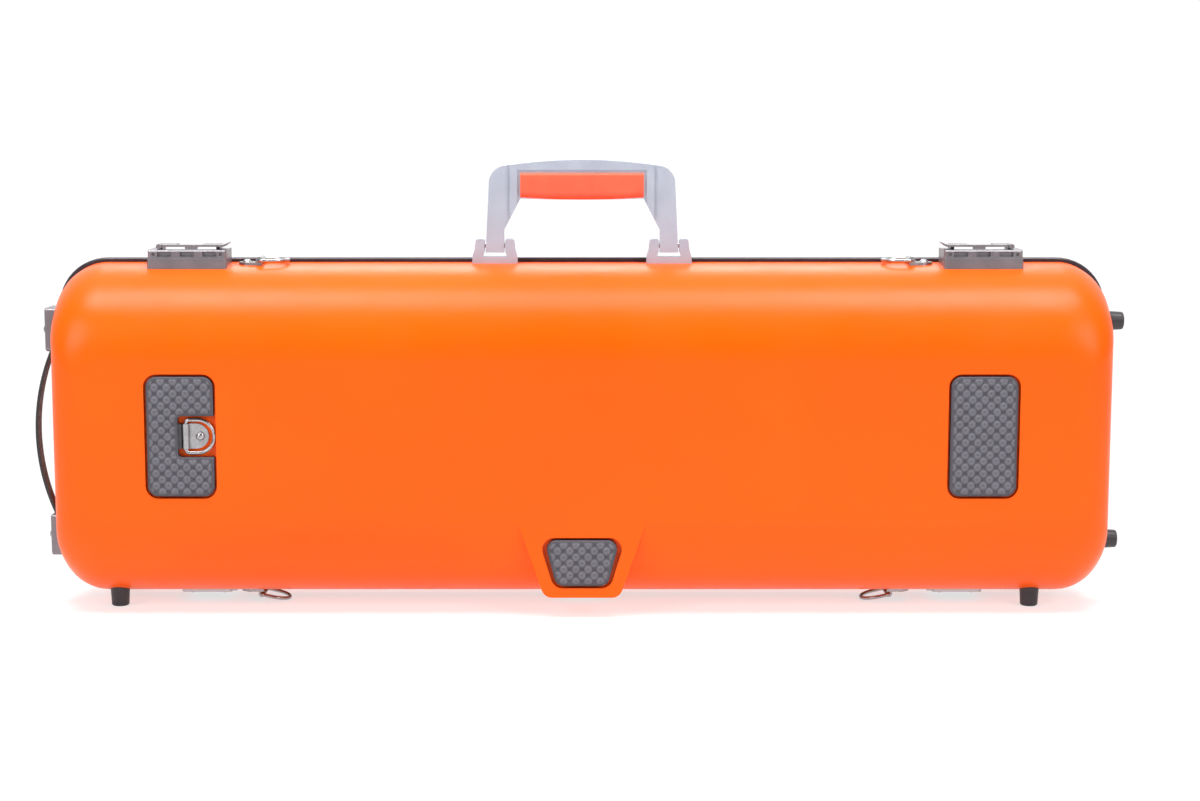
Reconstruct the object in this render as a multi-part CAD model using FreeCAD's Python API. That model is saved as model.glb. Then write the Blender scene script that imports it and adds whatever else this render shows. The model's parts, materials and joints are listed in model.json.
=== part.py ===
"""Hard-shell oblong violin case, standing on its hinge side.

Frame while modelling: X along the case (neck end at -X), Z up towards the carrying
handle with zero at half height, Y across the seam with the base (back) shell at -Y and
the lid at +Y.  Everything is moved at the end so that the origin is the middle of the
footprint, on the floor.  Millimetres.
"""
import FreeCAD, Part
import math
import os

Vec = FreeCAD.Vector
X = Vec(1, 0, 0)
Y = Vec(0, 1, 0)
Z = Vec(0, 0, 1)

# ---- shells ------------------------------------------------------------------
CASE_LENGTH = 784.0          # outside, at the rims
CASE_HEIGHT = 247.6          # outside, at the rims
BASE_DEPTH = 82.0            # rim plane to flat back
LID_DEPTH = 54.0             # rim plane to flat lid face
WALL = 3.0
DRAFT_DEG = 2.5
RIM_CORNER = 34.0            # corner radius at the rims
FACE_CORNER = 16.0           # corner radius at the flat faces
BASE_LONG_ROUND = 62.0       # rounding between side walls and flat back
BASE_END_ROUND = 24.0
LID_LONG_ROUND = 42.0
LID_END_ROUND = 22.0
BASE_RIM_Y = -4.0
SEAL_THICKNESS = 6.0
SEAL_PROUD = 3.3
SEAL_BEVEL = 1.0
SEAL_INSIDE = 2.0            # how far the seal reaches inward past the wall
SEAM_GAP = 0.3               # between seal and lid rim

# ---- pads on the flat back ---------------------------------------------------
PAD_WIDTH = 48.6
PAD_HEIGHT = 87.8
PAD_CORNER = 7.5
PAD_EDGE = 1.0
PAD_X = 292.3                # centre distance from the middle
PAD_Z = 2.2
PAD_PROUD = 2.0
PAD_GAP = 1.8                # gap between pad and recess wall
RECESS_DEPTH = 5.0
BOSS_MARGIN = 4.0
NOTCH_WIDTH = 26.0           # pocket in the strap pad, from its inner edge
NOTCH_HEIGHT = 30.2
NOTCH_CORNER = 3.0
HEEL_TOP_Z = -74.3
HEEL_BOTTOM_Z = -108.4
HEEL_TOP_HALF = 30.5
HEEL_BOTTOM_HALF = 18.8
HEEL_CORNER = 7.0
BUTTRESS_TOP_Z = -38.0
BUTTRESS_BOTTOM_Z = -117.2
BUTTRESS_TOP_HALF = 55.0
BUTTRESS_BOTTOM_HALF = 27.6
BUTTRESS_CORNER = 8.0
BUTTRESS_FLARE = 5.0
BUTTRESS_LENGTH = 44.0

# ---- carrying handle ---------------------------------------------------------
BRACKET_X = 65.3
BRACKET_Y = -10.6
BRACKET_DEPTH = 10.4
BRACKET_FOOT_HALF = 17.2
BRACKET_TOP_HALF = 14.2
BRACKET_BAR_RISE = 4.8       # top of the foot bar above the rim height
BRACKET_EAR_RISE = 18.0
EAR_GAP_HALF = 7.7
PIVOT_RISE = 13.2
HANDLE_PIN_R = 2.0
RUNNING = 0.06               # radial clearance of every turning pin
LEG_HALF = 6.9
LEG_DROP = 5.4               # leg end below the pivot
HANDLE_THICKNESS = 9.0
HANDLE_TOP_RISE = 77.0       # crown of the bow above the rim height
SHOULDER_RISE = 72.4
SHOULDER_HALF = 58.6
SHOULDER_RADIUS = 14.0
KNEE_RISE = 24.4
GRIP_HALF = 46.0
GRIP_TOP_RISE = 67.2
GRIP_BOTTOM_RISE = 48.2
GRIP_BELLY = 1.0
GRIP_THICKNESS = 17.0
GRIP_BORDER = 2.2
GRIP_BORDER_DEPTH = 0.7
GRIP_BEAM_THICKNESS = 13.0
GRIP_BEAM_REACH = 8.0        # the thick beam runs this far past the grip
GRIP_LOWER_ROUND = 5.5
GRIP_UPPER_ROUND = 2.4
EAR_ROUND = 2.0
BRACKET_SCREW_INSET = 4.6
BRACKET_SCREW_SEAT = 2.0     # screw length above the wall

# ---- toggle latches ----------------------------------------------------------
LATCH_LEFT_X = -292.8
LATCH_RIGHT_X = 297.6
LATCH_HALF = 29.2
LATCH_REAR_Y = -8.0
LATCH_FRONT_Y = -36.0
LATCH_RISE = 11.1
LATCH_FLOOR = 1.6
LATCH_STEP = 0.9             # each step of the foot stands this much further out
LATCH_STEP_HEIGHTS = (4.9, 2.4)
LATCH_ROUND = 2.2
LATCH_RIVET_X = 15.5
LATCH_RIVET_Y = -15.0
CHEEK_INNER = 23.0
FRONT_WALL = 6.0
WINDOW_WIDTH = 10.4
WINDOW_PITCH = 16.8
WINDOW_HEIGHT = 3.6
WINDOW_SILL = 6.1
WINDOW_DEPTH = 2.4
PEEP_SIZE = 2.2
PEEP_OFFSET = 24.9
LEVER_AXIS_Y = -12.0
LEVER_AXIS_RISE = 8.5
LEVER_PIN_R = 1.5
LEVER_PLATE_LOW = 13.2
LEVER_PLATE = 1.4
LEVER_WIDE_Y = -18.0
LEVER_FRONT_Y = -34.0
LEVER_REAR_Y = -9.0
LEVER_EAR = 2.5
LEVER_INNER_END = 27.0
LEVER_OUTER_END = -18.3
LEVER_TIP = 3.4
LEVER_TIP_RISE = 1.7
LEVER_BARREL_R = 1.9
CLAW_AXIS_Y = -20.0
CLAW_AXIS_RISE = 6.3
CLAW_PIN_R = 1.2
CLAW_BARREL_R = 2.5
CLAW_HALF = 9.0
CLAW_SLOT_GAP = 0.7
CLAW_SLOT_Y = -26.5
LEVER_SIDE_PLAY = 0.5
CLAW_SIDE_PLAY = 1.2
CLAW_PLATE = 1.6
CLAW_LOW = 5.5
CLAW_NOSE_Y = 14.0
CLAW_NOSE = 2.2
KEEPER_Y = 10.4
KEEPER_HALF = 12.5
KEEPER_PLATE = 1.4
KEEPER_LIP = 2.0
KEEPER_RISE = 5.1
KEEPER_LENGTH = 16.0

# ---- strap rings -------------------------------------------------------------
RING_WIRE_R = 1.35
RING_HALF = 12.15            # wire centre line, along the bar
RING_REACH = 20.65           # bar centre to the far wire centre
RING_BEND = 2.75
SLEEVE_HALF = 9.2
SLEEVE_SKIN = 1.2
SLEEVE_PLAY = 0.10
TONGUE_REACH = 16.4
RIVET_REACH = 10.3
RING_ROW_Y = -18.2           # centre line of the rings on the side walls
TOP_RING_LEFT_X = -240.3
TOP_RING_RIGHT_X = 245.6
BOTTOM_RING_LEFT_X = -243.0
BOTTOM_RING_RIGHT_X = 233.0
BACK_RING_X = -288.4
BACK_RING_Z = 2.2
RING_FLOOR_GAP = 0.3         # hanging bottom rings stay this far off the floor

# ---- feet --------------------------------------------------------------------
FOOT_RISE = 8.6              # foot height outside the wall, at the wall's rim line
FOOT_ROOT_R = 7.5
FOOT_TIP_R = 6.5
FOOT_BORE_R = 3.7
FOOT_BORE_DEPTH = 5.0
FOOT_TIP_ROUND = 1.6
FOOT_ROOT_DEPTH = 6.0        # cone length drawn inside the wall before it is cut off
BASE_FOOT_Y = -40.0
LID_FOOT_Y = 31.0
FOOT_LEFT_X = -348.0
FOOT_RIGHT_X = 337.0
END_FOOT_HIGH_Z = 82.6
END_FOOT_LOW_Z = -81.8
END_FOOT_RISE = 9.6
BASE_END_FOOT_Y = -38.0
LID_END_FOOT_Y = 28.0

# ---- side strap at the neck end ----------------------------------------------
MOUNT_Y = -33.0
MOUNT_DEPTH = 26.0
MOUNT_RISE = 5.6             # outside the end wall's rim line
MOUNT_UPPER_TOP = 92.6
MOUNT_UPPER_LOW = 60.2
MOUNT_LOWER_TOP = -62.4
MOUNT_LOWER_LOW = -93.2
MOUNT_CORNER = 3.0
MOUNT_EDGE = 1.2
MOUNT_RIVET_Y = 6.5
STRAP_WIDTH = 11.0           # between its mounts
STRAP_TAB_WIDTH = 21.0
STRAP_THICKNESS = 2.2
STRAP_ROOT_RISE = 1.6
STRAP_BOW = 16.4             # how far the strap stands out at its middle
STRAP_TAB = 22.0

# ---- hinges ------------------------------------------------------------------
HINGE_X = 285.0
HINGE_HALF = 19.0
HINGE_DROP = 3.4             # axis below the rim line
KNUCKLE_R = 3.0
KNUCKLE_SPLIT = 6.4          # half length of the middle knuckle, with its play
KNUCKLE_PLAY = 0.2
HINGE_PIN_R = 1.4
LEAF = 1.6
LEAF_GAP = 0.3
LEAF_LENGTH = 22.0
HINGE_RIVET_X = 12.0
HINGE_CORNER = 3.0

# ---- fasteners ---------------------------------------------------------------
RIVET_HEAD_R = 3.4
RIVET_HEAD = 1.9
RIVET_SHANK_R = 1.5
RIVET_DIMPLE_R = 0.8
HOLE_CLEARANCE = 0.1
SCREW_HEAD_R = 3.2
SCREW_HEAD = 2.0
SHORT_OF_INSIDE = 0.2        # shanks end this far short of the inner wall

# ---- padded interior ---------------------------------------------------------
LINER_GAP = 0.4
CRADLE_TOP_Y = -8.0
CAVITY_DEPTH = 46.0
RELIEF_DEPTH = 14.0
RELIEF_LEDGE = 14.0
LOWER_BOUT_X = 268.0
LOWER_BOUT_R = 107.0
UPPER_BOUT_X = 92.0
UPPER_BOUT_R = 90.0
WAIST_HALF = 62.0
WAIST_BLEND = 18.0
NECK_FAR_X = -236.0
NECK_HALF = 28.0
NECK_DEPTH = 36.0
SCROLL_LENGTH = 60.0
SCROLL_HALF = 36.0
SCROLL_DEPTH = 60.0
WELL_NEAR_X = -262.0
WELL_FAR_X = -366.0
WELL_HALF = 86.0
WELL_DEPTH = 54.0
POCKET_NEAR_X = -24.0
POCKET_FAR_X = -226.0
POCKET_LOW_Z = 46.0
POCKET_HIGH_Z = 94.0
POCKET_DEPTH = 48.0
POCKET_CORNER = 10.0
BLOCK_LENGTH = 28.0
BLOCK_END_GAP = 3.0
BLOCK_HALF = 36.0
LOWER_BLOCK_EXTRA = 4.0      # the lower block cushion is this much wider each way
BLOCK_CROWN = 3.0
NECK_OVERRUN = 12.0          # the neck channel runs this far into the upper bout
SOFT_GAP = 0.4
NECK_REST_X = -52.0
NECK_REST_HALF = 20.0
NECK_REST_RISE = 14.0
NECK_GROOVE_R = 22.0
NECK_STRAP_WIDTH = 24.0
NECK_STRAP_THICKNESS = 2.4
NECK_STRAP_HINGE_Z = 34.0
LINING = 6.0
LID_LINING_START = 6.0
CUSHION_X = 190.0
CUSHION_HALF_X = 155.0
CUSHION_HALF_Z = 40.0
CUSHION_THICKNESS = 9.0
CUSHION_CORNER = 18.0
CUSHION_EDGE = 4.0
BOW_Z = 62.0
BOW_CLIP_X = -300.0
BOW_CLIP_HALF = 24.0
BOW_CLIP_WIDTH = 12.0
BOW_CLIP_THICKNESS = 5.0
BOW_CLIP_STAND = 14.0
BOW_POST_R = 4.0
BOW_BASE_HALF = 15.0
BOW_BASE = 3.0
FROG_POCKET_X = 296.0
FROG_POCKET_LENGTH = 62.0
FROG_POCKET_HALF = 17.0
FROG_POCKET_RISE = 26.0
FROG_POCKET_SKIN = 3.0

# ---- worked out from the values above ----------------------------------------
HALF_LENGTH = CASE_LENGTH / 2
RIM_Z = CASE_HEIGHT / 2
LEAN = math.tan(math.radians(DRAFT_DEG))
BASE_FACE_Y = BASE_RIM_Y - BASE_DEPTH
SEAL_TOP_Y = BASE_RIM_Y + SEAL_THICKNESS
LID_RIM_Y = SEAL_TOP_Y + SEAM_GAP
LID_FACE_Y = LID_RIM_Y + LID_DEPTH
RECESS_Y = BASE_FACE_Y + RECESS_DEPTH
PAD_FACE_Y = BASE_FACE_Y - PAD_PROUD
PIVOT_Z = RIM_Z + PIVOT_RISE
FLOOR_Z = -RIM_Z - FOOT_RISE
HINGE_Y = LID_RIM_Y - 0.15
HINGE_Z = -RIM_Z - HINGE_DROP
NECK_FLOOR_Y = CRADLE_TOP_Y - NECK_DEPTH
CAVITY_Y = CRADLE_TOP_Y - CAVITY_DEPTH
RELIEF_Y = CAVITY_Y - RELIEF_DEPTH
LINING_FACE_Y = LID_FACE_Y - WALL - LINER_GAP - LINING
THROUGH = 60.0               # length of a cutter that goes right through a small part
RING_LIFT = SLEEVE_SKIN + SLEEVE_PLAY + RING_WIRE_R       # bar centre above the seat
RING_DROP = FOOT_RISE - RING_LIFT - RING_WIRE_R - RING_FLOOR_GAP
RING_DROOP_DEG = math.degrees(math.asin(RING_DROP / RING_REACH))


# ==== small tools =============================================================
def box(x0, x1, y0, y1, z0, z1):
    return Part.makeBox(x1 - x0, y1 - y0, z1 - z0, Vec(x0, y0, z0))


def rod(start, direction, radius, length):
    return Part.makeCylinder(radius, length, start, direction)


def polygon(points):
    return Part.makePolygon(list(points) + [points[0]])


def prism_y(points, y0, y1):
    """Solid between two y planes over (x, z) points."""
    wire = polygon([Vec(x, y0, z) for x, z in points])
    return Part.Face(wire).extrude(Vec(0, y1 - y0, 0))


def prism_x(points, x0, x1):
    """Solid between two x planes over (y, z) points."""
    wire = polygon([Vec(x0, y, z) for y, z in points])
    return Part.Face(wire).extrude(Vec(x1 - x0, 0, 0))


def edges_along(shape, direction):
    """Straight edges of a shape that run along a direction."""
    found = []
    for edge in shape.Edges:
        if edge.Curve.TypeId != "Part::GeomLine":
            continue
        if abs(abs(edge.Curve.Direction.dot(direction)) - 1) < 1e-6:
            found.append(edge)
    return found


def rounded_prism_y(points, y0, y1, radius):
    solid = prism_y(points, y0, y1)
    return solid.makeFillet(radius, edges_along(solid, Y))


def rectangle(cx, cz, half_x, half_z):
    return [(cx - half_x, cz - half_z), (cx + half_x, cz - half_z),
            (cx + half_x, cz + half_z), (cx - half_x, cz + half_z)]


def fused(parts):
    parts = list(parts)
    if len(parts) == 1:
        return parts[0]
    return parts[0].multiFuse(parts[1:]).removeSplitter()


def group(parts):
    return Part.makeCompound(list(parts))


def placed(shape, origin, along, up):
    """Copy of a shape drawn with +X along and +Z up, carried to another frame."""
    side = up.cross(along)
    turn = FreeCAD.Matrix(along.x, side.x, up.x, origin.x,
                          along.y, side.y, up.y, origin.y,
                          along.z, side.z, up.z, origin.z,
                          0, 0, 0, 1)
    copy = shape.copy()
    copy.Placement = FreeCAD.Placement(turn).multiply(copy.Placement)
    return copy


def turned(shape, pivot, axis, degrees):
    copy = shape.copy()
    copy.rotate(pivot, axis, degrees)
    return copy


def mirrored_x(shape, x=0.0):
    return shape.mirror(Vec(x, 0, 0), X)


# ==== shells ==================================================================
def round_inset(depth, full_depth, radius):
    """How far a wall has come in at a depth, on its way round to the flat face."""
    past = depth - (full_depth - radius)
    if past <= 0:
        return 0.0
    return radius - math.sqrt(max(0.0, radius ** 2 - past ** 2))


def rounded_section(half_x, half_z, corner, y):
    """Rounded rectangle in a y plane: four sides and four arcs, always in one order."""
    bow = corner * (1 - math.sqrt(0.5))
    edges = []
    sides = [(1, -1, 1, 1), (1, 1, -1, 1), (-1, 1, -1, -1), (-1, -1, 1, -1)]
    for sx0, sz0, sx1, sz1 in sides:
        upright = sx0 == sx1
        if upright:
            start = Vec(sx0 * half_x, y, sz0 * (half_z - corner))
            end = Vec(sx1 * half_x, y, sz1 * (half_z - corner))
            turn_end = Vec(sx1 * (half_x - corner), y, sz1 * half_z)
        else:
            start = Vec(sx0 * (half_x - corner), y, sz0 * half_z)
            end = Vec(sx1 * (half_x - corner), y, sz1 * half_z)
            turn_end = Vec(sx1 * half_x, y, sz1 * (half_z - corner))
        middle = Vec(sx1 * (half_x - bow), y, sz1 * (half_z - bow))
        edges.append(Part.LineSegment(start, end).toShape())
        edges.append(Part.Arc(end, middle, turn_end).toShape())
    return Part.Wire(edges)


def section_depths(start, depth, long_round, end_round):
    """Depths of the loft's sections, closer together where the walls turn."""
    long_start = depth - long_round
    end_start = depth - end_round
    depths = [start, (start + long_start) / 2, long_start]
    for degrees in range(10, 91, 10):
        depths.append(long_start + long_round * math.sin(math.radians(degrees)))
    for degrees in (15, 35, 55, 75):
        depths.append(end_start + end_round * math.sin(math.radians(degrees)))
    spaced = []
    for value in sorted(depths):
        if not spaced or value - spaced[-1] > 0.6:
            spaced.append(value)
    spaced[-1] = depth
    return spaced


def shell_form(rim_y, outward, depth, long_round, end_round, inset=0.0, start=0.0):
    """Closed solid of one shell's outside, moved in by `inset` all over."""
    depth = depth - inset
    long_round = long_round - inset
    end_round = end_round - inset
    wires = []
    for at in section_depths(start, depth, long_round, end_round):
        end_in = round_inset(at, depth, end_round)
        long_in = round_inset(at, depth, long_round)
        half_x = HALF_LENGTH - inset - at * LEAN - end_in
        half_z = RIM_Z - inset - at * LEAN - long_in
        corner = RIM_CORNER - inset - (RIM_CORNER - FACE_CORNER) * end_in / end_round
        wires.append(rounded_section(half_x, half_z, corner, rim_y + outward * at))
    return Part.makeLoft(wires, True, False, False, 5)


def base_form(inset=0.0, start=0.0):
    return shell_form(BASE_RIM_Y, -1, BASE_DEPTH, BASE_LONG_ROUND, BASE_END_ROUND, inset, start)


def lid_form(inset=0.0, start=0.0):
    return shell_form(LID_RIM_Y, 1, LID_DEPTH, LID_LONG_ROUND, LID_END_ROUND, inset, start)


def pad_outline(side, grow=0.0):
    return rectangle(side * PAD_X, PAD_Z, PAD_WIDTH / 2 + grow, PAD_HEIGHT / 2 + grow)


def heel_outline(grow=0.0):
    return [(-HEEL_BOTTOM_HALF - grow, HEEL_BOTTOM_Z - grow),
            (HEEL_BOTTOM_HALF + grow, HEEL_BOTTOM_Z - grow),
            (HEEL_TOP_HALF + grow, HEEL_TOP_Z + grow),
            (-HEEL_TOP_HALF - grow, HEEL_TOP_Z + grow)]


def back_pads(y0, y1, grow):
    """The three rubber pads' outlines as solids between two y planes."""
    pads = []
    for side in (-1, 1):
        pads.append(rounded_prism_y(pad_outline(side, grow), y0, y1, PAD_CORNER + grow))
    pads.append(rounded_prism_y(heel_outline(grow), y0, y1, HEEL_CORNER + grow))
    return pads


def buttress():
    """Tapered wedge that carries the flat back down to the hinge side."""
    wires = []
    for back, flare in ((0.0, 0.0), (BUTTRESS_LENGTH, BUTTRESS_FLARE)):
        y = BASE_FACE_Y + back
        points = [(-BUTTRESS_BOTTOM_HALF - flare, BUTTRESS_BOTTOM_Z),
                  (BUTTRESS_BOTTOM_HALF + flare, BUTTRESS_BOTTOM_Z),
                  (BUTTRESS_TOP_HALF + flare, BUTTRESS_TOP_Z),
                  (-BUTTRESS_TOP_HALF - flare, BUTTRESS_TOP_Z)]
        wires.append(polygon([Vec(x, y, z) for x, z in points]))
    wedge = Part.makeLoft(wires, True, True)
    lower = [edge for edge in wedge.Edges
             if max(v.Z for v in edge.Vertexes) < BUTTRESS_BOTTOM_Z + 1 and abs(edge.tangentAt(0).y) > 0.5]
    return wedge.makeFillet(BUTTRESS_CORNER, lower)


def bosses():
    """Thick pads inside the base wall behind the recesses."""
    return back_pads(BASE_FACE_Y + WALL / 2, RECESS_Y + WALL, PAD_GAP + BOSS_MARGIN)


def base_shell(outside, holes):
    skin = outside.fuse(buttress())
    hollow = base_form(WALL, -1.0)
    skin = skin.cut(hollow)
    skin = skin.multiFuse(bosses())
    cutters = back_pads(BASE_FACE_Y - 1, RECESS_Y, PAD_GAP)
    return skin.cut(cutters + holes).removeSplitter()


def lid_shell(outside, holes):
    return outside.cut([lid_form(WALL, -1.0)] + holes)


def rim_seal():
    """Rubber seal on the base rim, with a bevelled lip outside that stops at the hinges."""
    def section(grow, y):
        return rounded_section(HALF_LENGTH + grow, RIM_Z + grow, RIM_CORNER + grow, y)
    lip = [section(SEAL_PROUD - SEAL_BEVEL, BASE_RIM_Y), section(SEAL_PROUD, BASE_RIM_Y + SEAL_BEVEL),
           section(SEAL_PROUD, SEAL_TOP_Y - SEAL_BEVEL), section(SEAL_PROUD - SEAL_BEVEL, SEAL_TOP_Y)]
    body = Part.makeLoft(lip, True, True)
    middle = Part.Face(section(-WALL - SEAL_INSIDE, BASE_RIM_Y - 1)).extrude(Vec(0, SEAL_THICKNESS + 2, 0))
    notches = []
    for x in (-HINGE_X, 0.0, HINGE_X):
        half = HINGE_HALF + 1.0
        notches.append(box(x - half, x + half, BASE_RIM_Y - 1, SEAL_TOP_Y + 1,
                           -RIM_Z - SEAL_PROUD - 1, -RIM_Z))
    return body.cut([middle] + notches)


# ==== fasteners ===============================================================
def rivet(shank):
    """Domed rivet drawn along Z with the head's underside at z = 0."""
    head = [Vec(0, 0, 0), Vec(RIVET_HEAD_R, 0, 0)]
    rim = Part.LineSegment(head[0], head[1]).toShape()
    dome = Part.Arc(Vec(RIVET_HEAD_R, 0, 0), Vec(RIVET_HEAD_R * 0.72, 0, RIVET_HEAD * 0.72),
                    Vec(0, 0, RIVET_HEAD)).toShape()
    back = Part.LineSegment(Vec(0, 0, RIVET_HEAD), Vec(0, 0, 0)).toShape()
    cap = Part.Face(Part.Wire([rim, dome, back])).revolve(Vec(0, 0, 0), Z, 360)
    body = cap.fuse(rod(Vec(0, 0, 0), Vec(0, 0, -1), RIVET_SHANK_R, shank))
    return body.cut(rod(Vec(0, 0, RIVET_HEAD - 0.9), Z, RIVET_DIMPLE_R, 2)).removeSplitter()


def screw(shank):
    """Flat-topped cross-slot screw drawn along Z with the head's underside at z = 0."""
    body = rod(Vec(0, 0, 0), Z, SCREW_HEAD_R, SCREW_HEAD)
    body = body.fuse(rod(Vec(0, 0, 0), Vec(0, 0, -1), RIVET_SHANK_R, shank)).removeSplitter()
    slot = SCREW_HEAD_R * 0.6
    for sx, sy in ((slot, 0.4), (0.4, slot)):
        body = body.cut(box(-sx, sx, -sy, sy, SCREW_HEAD - 0.8, SCREW_HEAD + 1))
    return body


class Fasteners:
    """Collects fasteners and the holes they need in the shell and the part they hold."""

    def __init__(self):
        self.solids = []
        self.holes = []

    def add(self, make, seat, outward, depth):
        """A fastener seated at a point, its head outward and its shank `depth` long."""
        side = Y if abs(outward.dot(Y)) < 0.5 else X
        self.solids.append(placed(make(depth), seat, side, outward))
        start = seat + outward * 0.01
        self.holes.append(rod(start, outward * -1, RIVET_SHANK_R + HOLE_CLEARANCE, depth + 1.5))


def wall_z(y, rim_y=BASE_RIM_Y, depth=BASE_DEPTH, long_round=BASE_LONG_ROUND):
    """Height of a long wall's outside at a distance from the seam."""
    at = abs(y - rim_y)
    return RIM_Z - at * LEAN - round_inset(at, depth, long_round)


def lid_wall_z(y):
    return wall_z(y, LID_RIM_Y, LID_DEPTH, LID_LONG_ROUND)


def end_x(y, rim_y=BASE_RIM_Y, depth=BASE_DEPTH, end_round=BASE_END_ROUND):
    """Distance of an end wall's outside from the middle."""
    at = abs(y - rim_y)
    return HALF_LENGTH - at * LEAN - round_inset(at, depth, end_round)


# ==== feet ====================================================================
def foot(seat, outward, rise, outside, fasteners):
    """Tapered rubber foot with a recessed screw; `seat` is where its axis meets the wall."""
    root = seat - outward * FOOT_ROOT_DEPTH
    cone = Part.makeCone(FOOT_ROOT_R, FOOT_TIP_R, rise + FOOT_ROOT_DEPTH, root, outward)
    tip = seat + outward * rise
    rim = [edge for edge in cone.Edges
           if edge.Curve.TypeId == "Part::GeomCircle" and abs(edge.Curve.Center.sub(tip).Length) < 1e-3]
    cone = cone.makeFillet(FOOT_TIP_ROUND, rim)
    bore = rod(tip - outward * FOOT_BORE_DEPTH, outward, FOOT_BORE_R, FOOT_BORE_DEPTH + 1)
    shank_hole = rod(root, outward, RIVET_SHANK_R + HOLE_CLEARANCE, rise + FOOT_ROOT_DEPTH)
    head_seat = tip - outward * FOOT_BORE_DEPTH
    fasteners.add(screw, head_seat, outward, rise - FOOT_BORE_DEPTH + WALL - SHORT_OF_INSIDE)
    return cone.cut([outside, bore, shank_hole])


# ==== pads ====================================================================
def plain_pad(points, corner):
    pad = rounded_prism_y(points, PAD_FACE_Y, RECESS_Y, corner)
    front = [edge for edge in pad.Edges if abs(edge.BoundBox.YMax - PAD_FACE_Y) < 1e-3]
    return pad.makeFillet(PAD_EDGE, front)


def notch(grow=0.0):
    """Pocket in the strap pad, open on its inner edge."""
    x_inner = -PAD_X + PAD_WIDTH / 2
    pocket = box(x_inner - NOTCH_WIDTH - grow, x_inner + 5, PAD_FACE_Y - 1, RECESS_Y + 1,
                 PAD_Z - NOTCH_HEIGHT / 2 - grow, PAD_Z + NOTCH_HEIGHT / 2 + grow)
    corners = [edge for edge in edges_along(pocket, Y) if edge.BoundBox.XMax < x_inner - 1]
    return pocket.makeFillet(NOTCH_CORNER, corners)


# ==== rings and clips =========================================================
def ring_local():
    """D ring drawn with its bar on Y through the origin and its bow towards +X."""
    straight_end = RING_REACH - RING_HALF
    bar = RING_HALF - RING_BEND
    bend_in = RING_BEND * (1 - math.sqrt(0.5))
    def at(x, y):
        return Vec(x, y, 0)
    path = [Part.LineSegment(at(0, 0), at(0, bar)),
            Part.Arc(at(0, bar), at(bend_in, RING_HALF - bend_in), at(RING_BEND, RING_HALF)),
            Part.LineSegment(at(RING_BEND, RING_HALF), at(straight_end, RING_HALF)),
            Part.Arc(at(straight_end, RING_HALF), at(RING_REACH, 0), at(straight_end, -RING_HALF)),
            Part.LineSegment(at(straight_end, -RING_HALF), at(RING_BEND, -RING_HALF)),
            Part.Arc(at(RING_BEND, -RING_HALF), at(bend_in, -RING_HALF + bend_in), at(0, -bar)),
            Part.LineSegment(at(0, -bar), at(0, 0))]
    spine = Part.Wire([piece.toShape() for piece in path])
    section = Part.Wire(Part.makeCircle(RING_WIRE_R, at(0, 0), Y))
    return spine.makePipeShell([section], True, False)


def clip_local(tongue_side):
    """Folded strip round the ring's bar, with a tongue towards +X or -X, drawn on z = 0."""
    outer_r = SLEEVE_SKIN + SLEEVE_PLAY + RING_WIRE_R
    sleeve = rod(Vec(0, -SLEEVE_HALF, RING_LIFT), Y, outer_r, 2 * SLEEVE_HALF)
    neck = TONGUE_REACH - SLEEVE_HALF
    plate = box(0, neck, -SLEEVE_HALF, SLEEVE_HALF, -2.5, SLEEVE_SKIN)
    tip = rod(Vec(neck, 0, -2.5), Z, SLEEVE_HALF, SLEEVE_SKIN + 2.5)
    foot_block = box(-outer_r * 0.5, outer_r, -SLEEVE_HALF, SLEEVE_HALF, -2.5, RING_LIFT)
    solid = fused([sleeve, plate, tip, foot_block])
    solid = solid.cut(rod(Vec(0, -SLEEVE_HALF - 1, RING_LIFT), Y, RING_WIRE_R + SLEEVE_PLAY,
                          2 * SLEEVE_HALF + 2))
    solid = solid.cut(rod(Vec(RIVET_REACH, 0, -3), Z, RIVET_SHANK_R + HOLE_CLEARANCE, 8))
    return solid if tongue_side > 0 else turned(solid, Vec(0, 0, 0), Z, 180)


# ==== handle ==================================================================
def handle_bracket(side, outside):
    """Forked bracket for one leg, with an open gap under the leg."""
    low = RIM_Z - 4
    bar = RIM_Z + BRACKET_BAR_RISE
    top = RIM_Z + BRACKET_EAR_RISE
    bulge = 0.35 * (BRACKET_FOOT_HALF - BRACKET_TOP_HALF)
    outline = [(-BRACKET_FOOT_HALF, low), (BRACKET_FOOT_HALF, low), (BRACKET_FOOT_HALF - 0.4, bar),
               (BRACKET_TOP_HALF + bulge, bar + 5), (BRACKET_TOP_HALF, top), (-BRACKET_TOP_HALF, top),
               (-BRACKET_TOP_HALF - bulge, bar + 5), (-BRACKET_FOOT_HALF + 0.4, bar)]
    y0 = BRACKET_Y - BRACKET_DEPTH / 2
    y1 = BRACKET_Y + BRACKET_DEPTH / 2
    solid = prism_y(outline, y0, y1)
    gap = [(-EAR_GAP_HALF - 1.4, bar), (EAR_GAP_HALF + 1.4, bar), (EAR_GAP_HALF, bar + 4.0),
           (EAR_GAP_HALF, top + 1), (-EAR_GAP_HALF, top + 1), (-EAR_GAP_HALF, bar + 4.0)]
    solid = solid.cut(prism_y(gap, y0 - 1, y1 + 1))
    tops = [edge for edge in edges_along(solid, Y) if edge.BoundBox.ZMin > top - 0.01]
    solid = solid.makeFillet(EAR_ROUND, tops)
    pin = rod(Vec(-THROUGH / 2, BRACKET_Y, PIVOT_Z), X, HANDLE_PIN_R, THROUGH)
    solid = solid.cut(pin)
    solid.translate(Vec(side * BRACKET_X, 0, 0))
    return solid.cut(outside)


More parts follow.
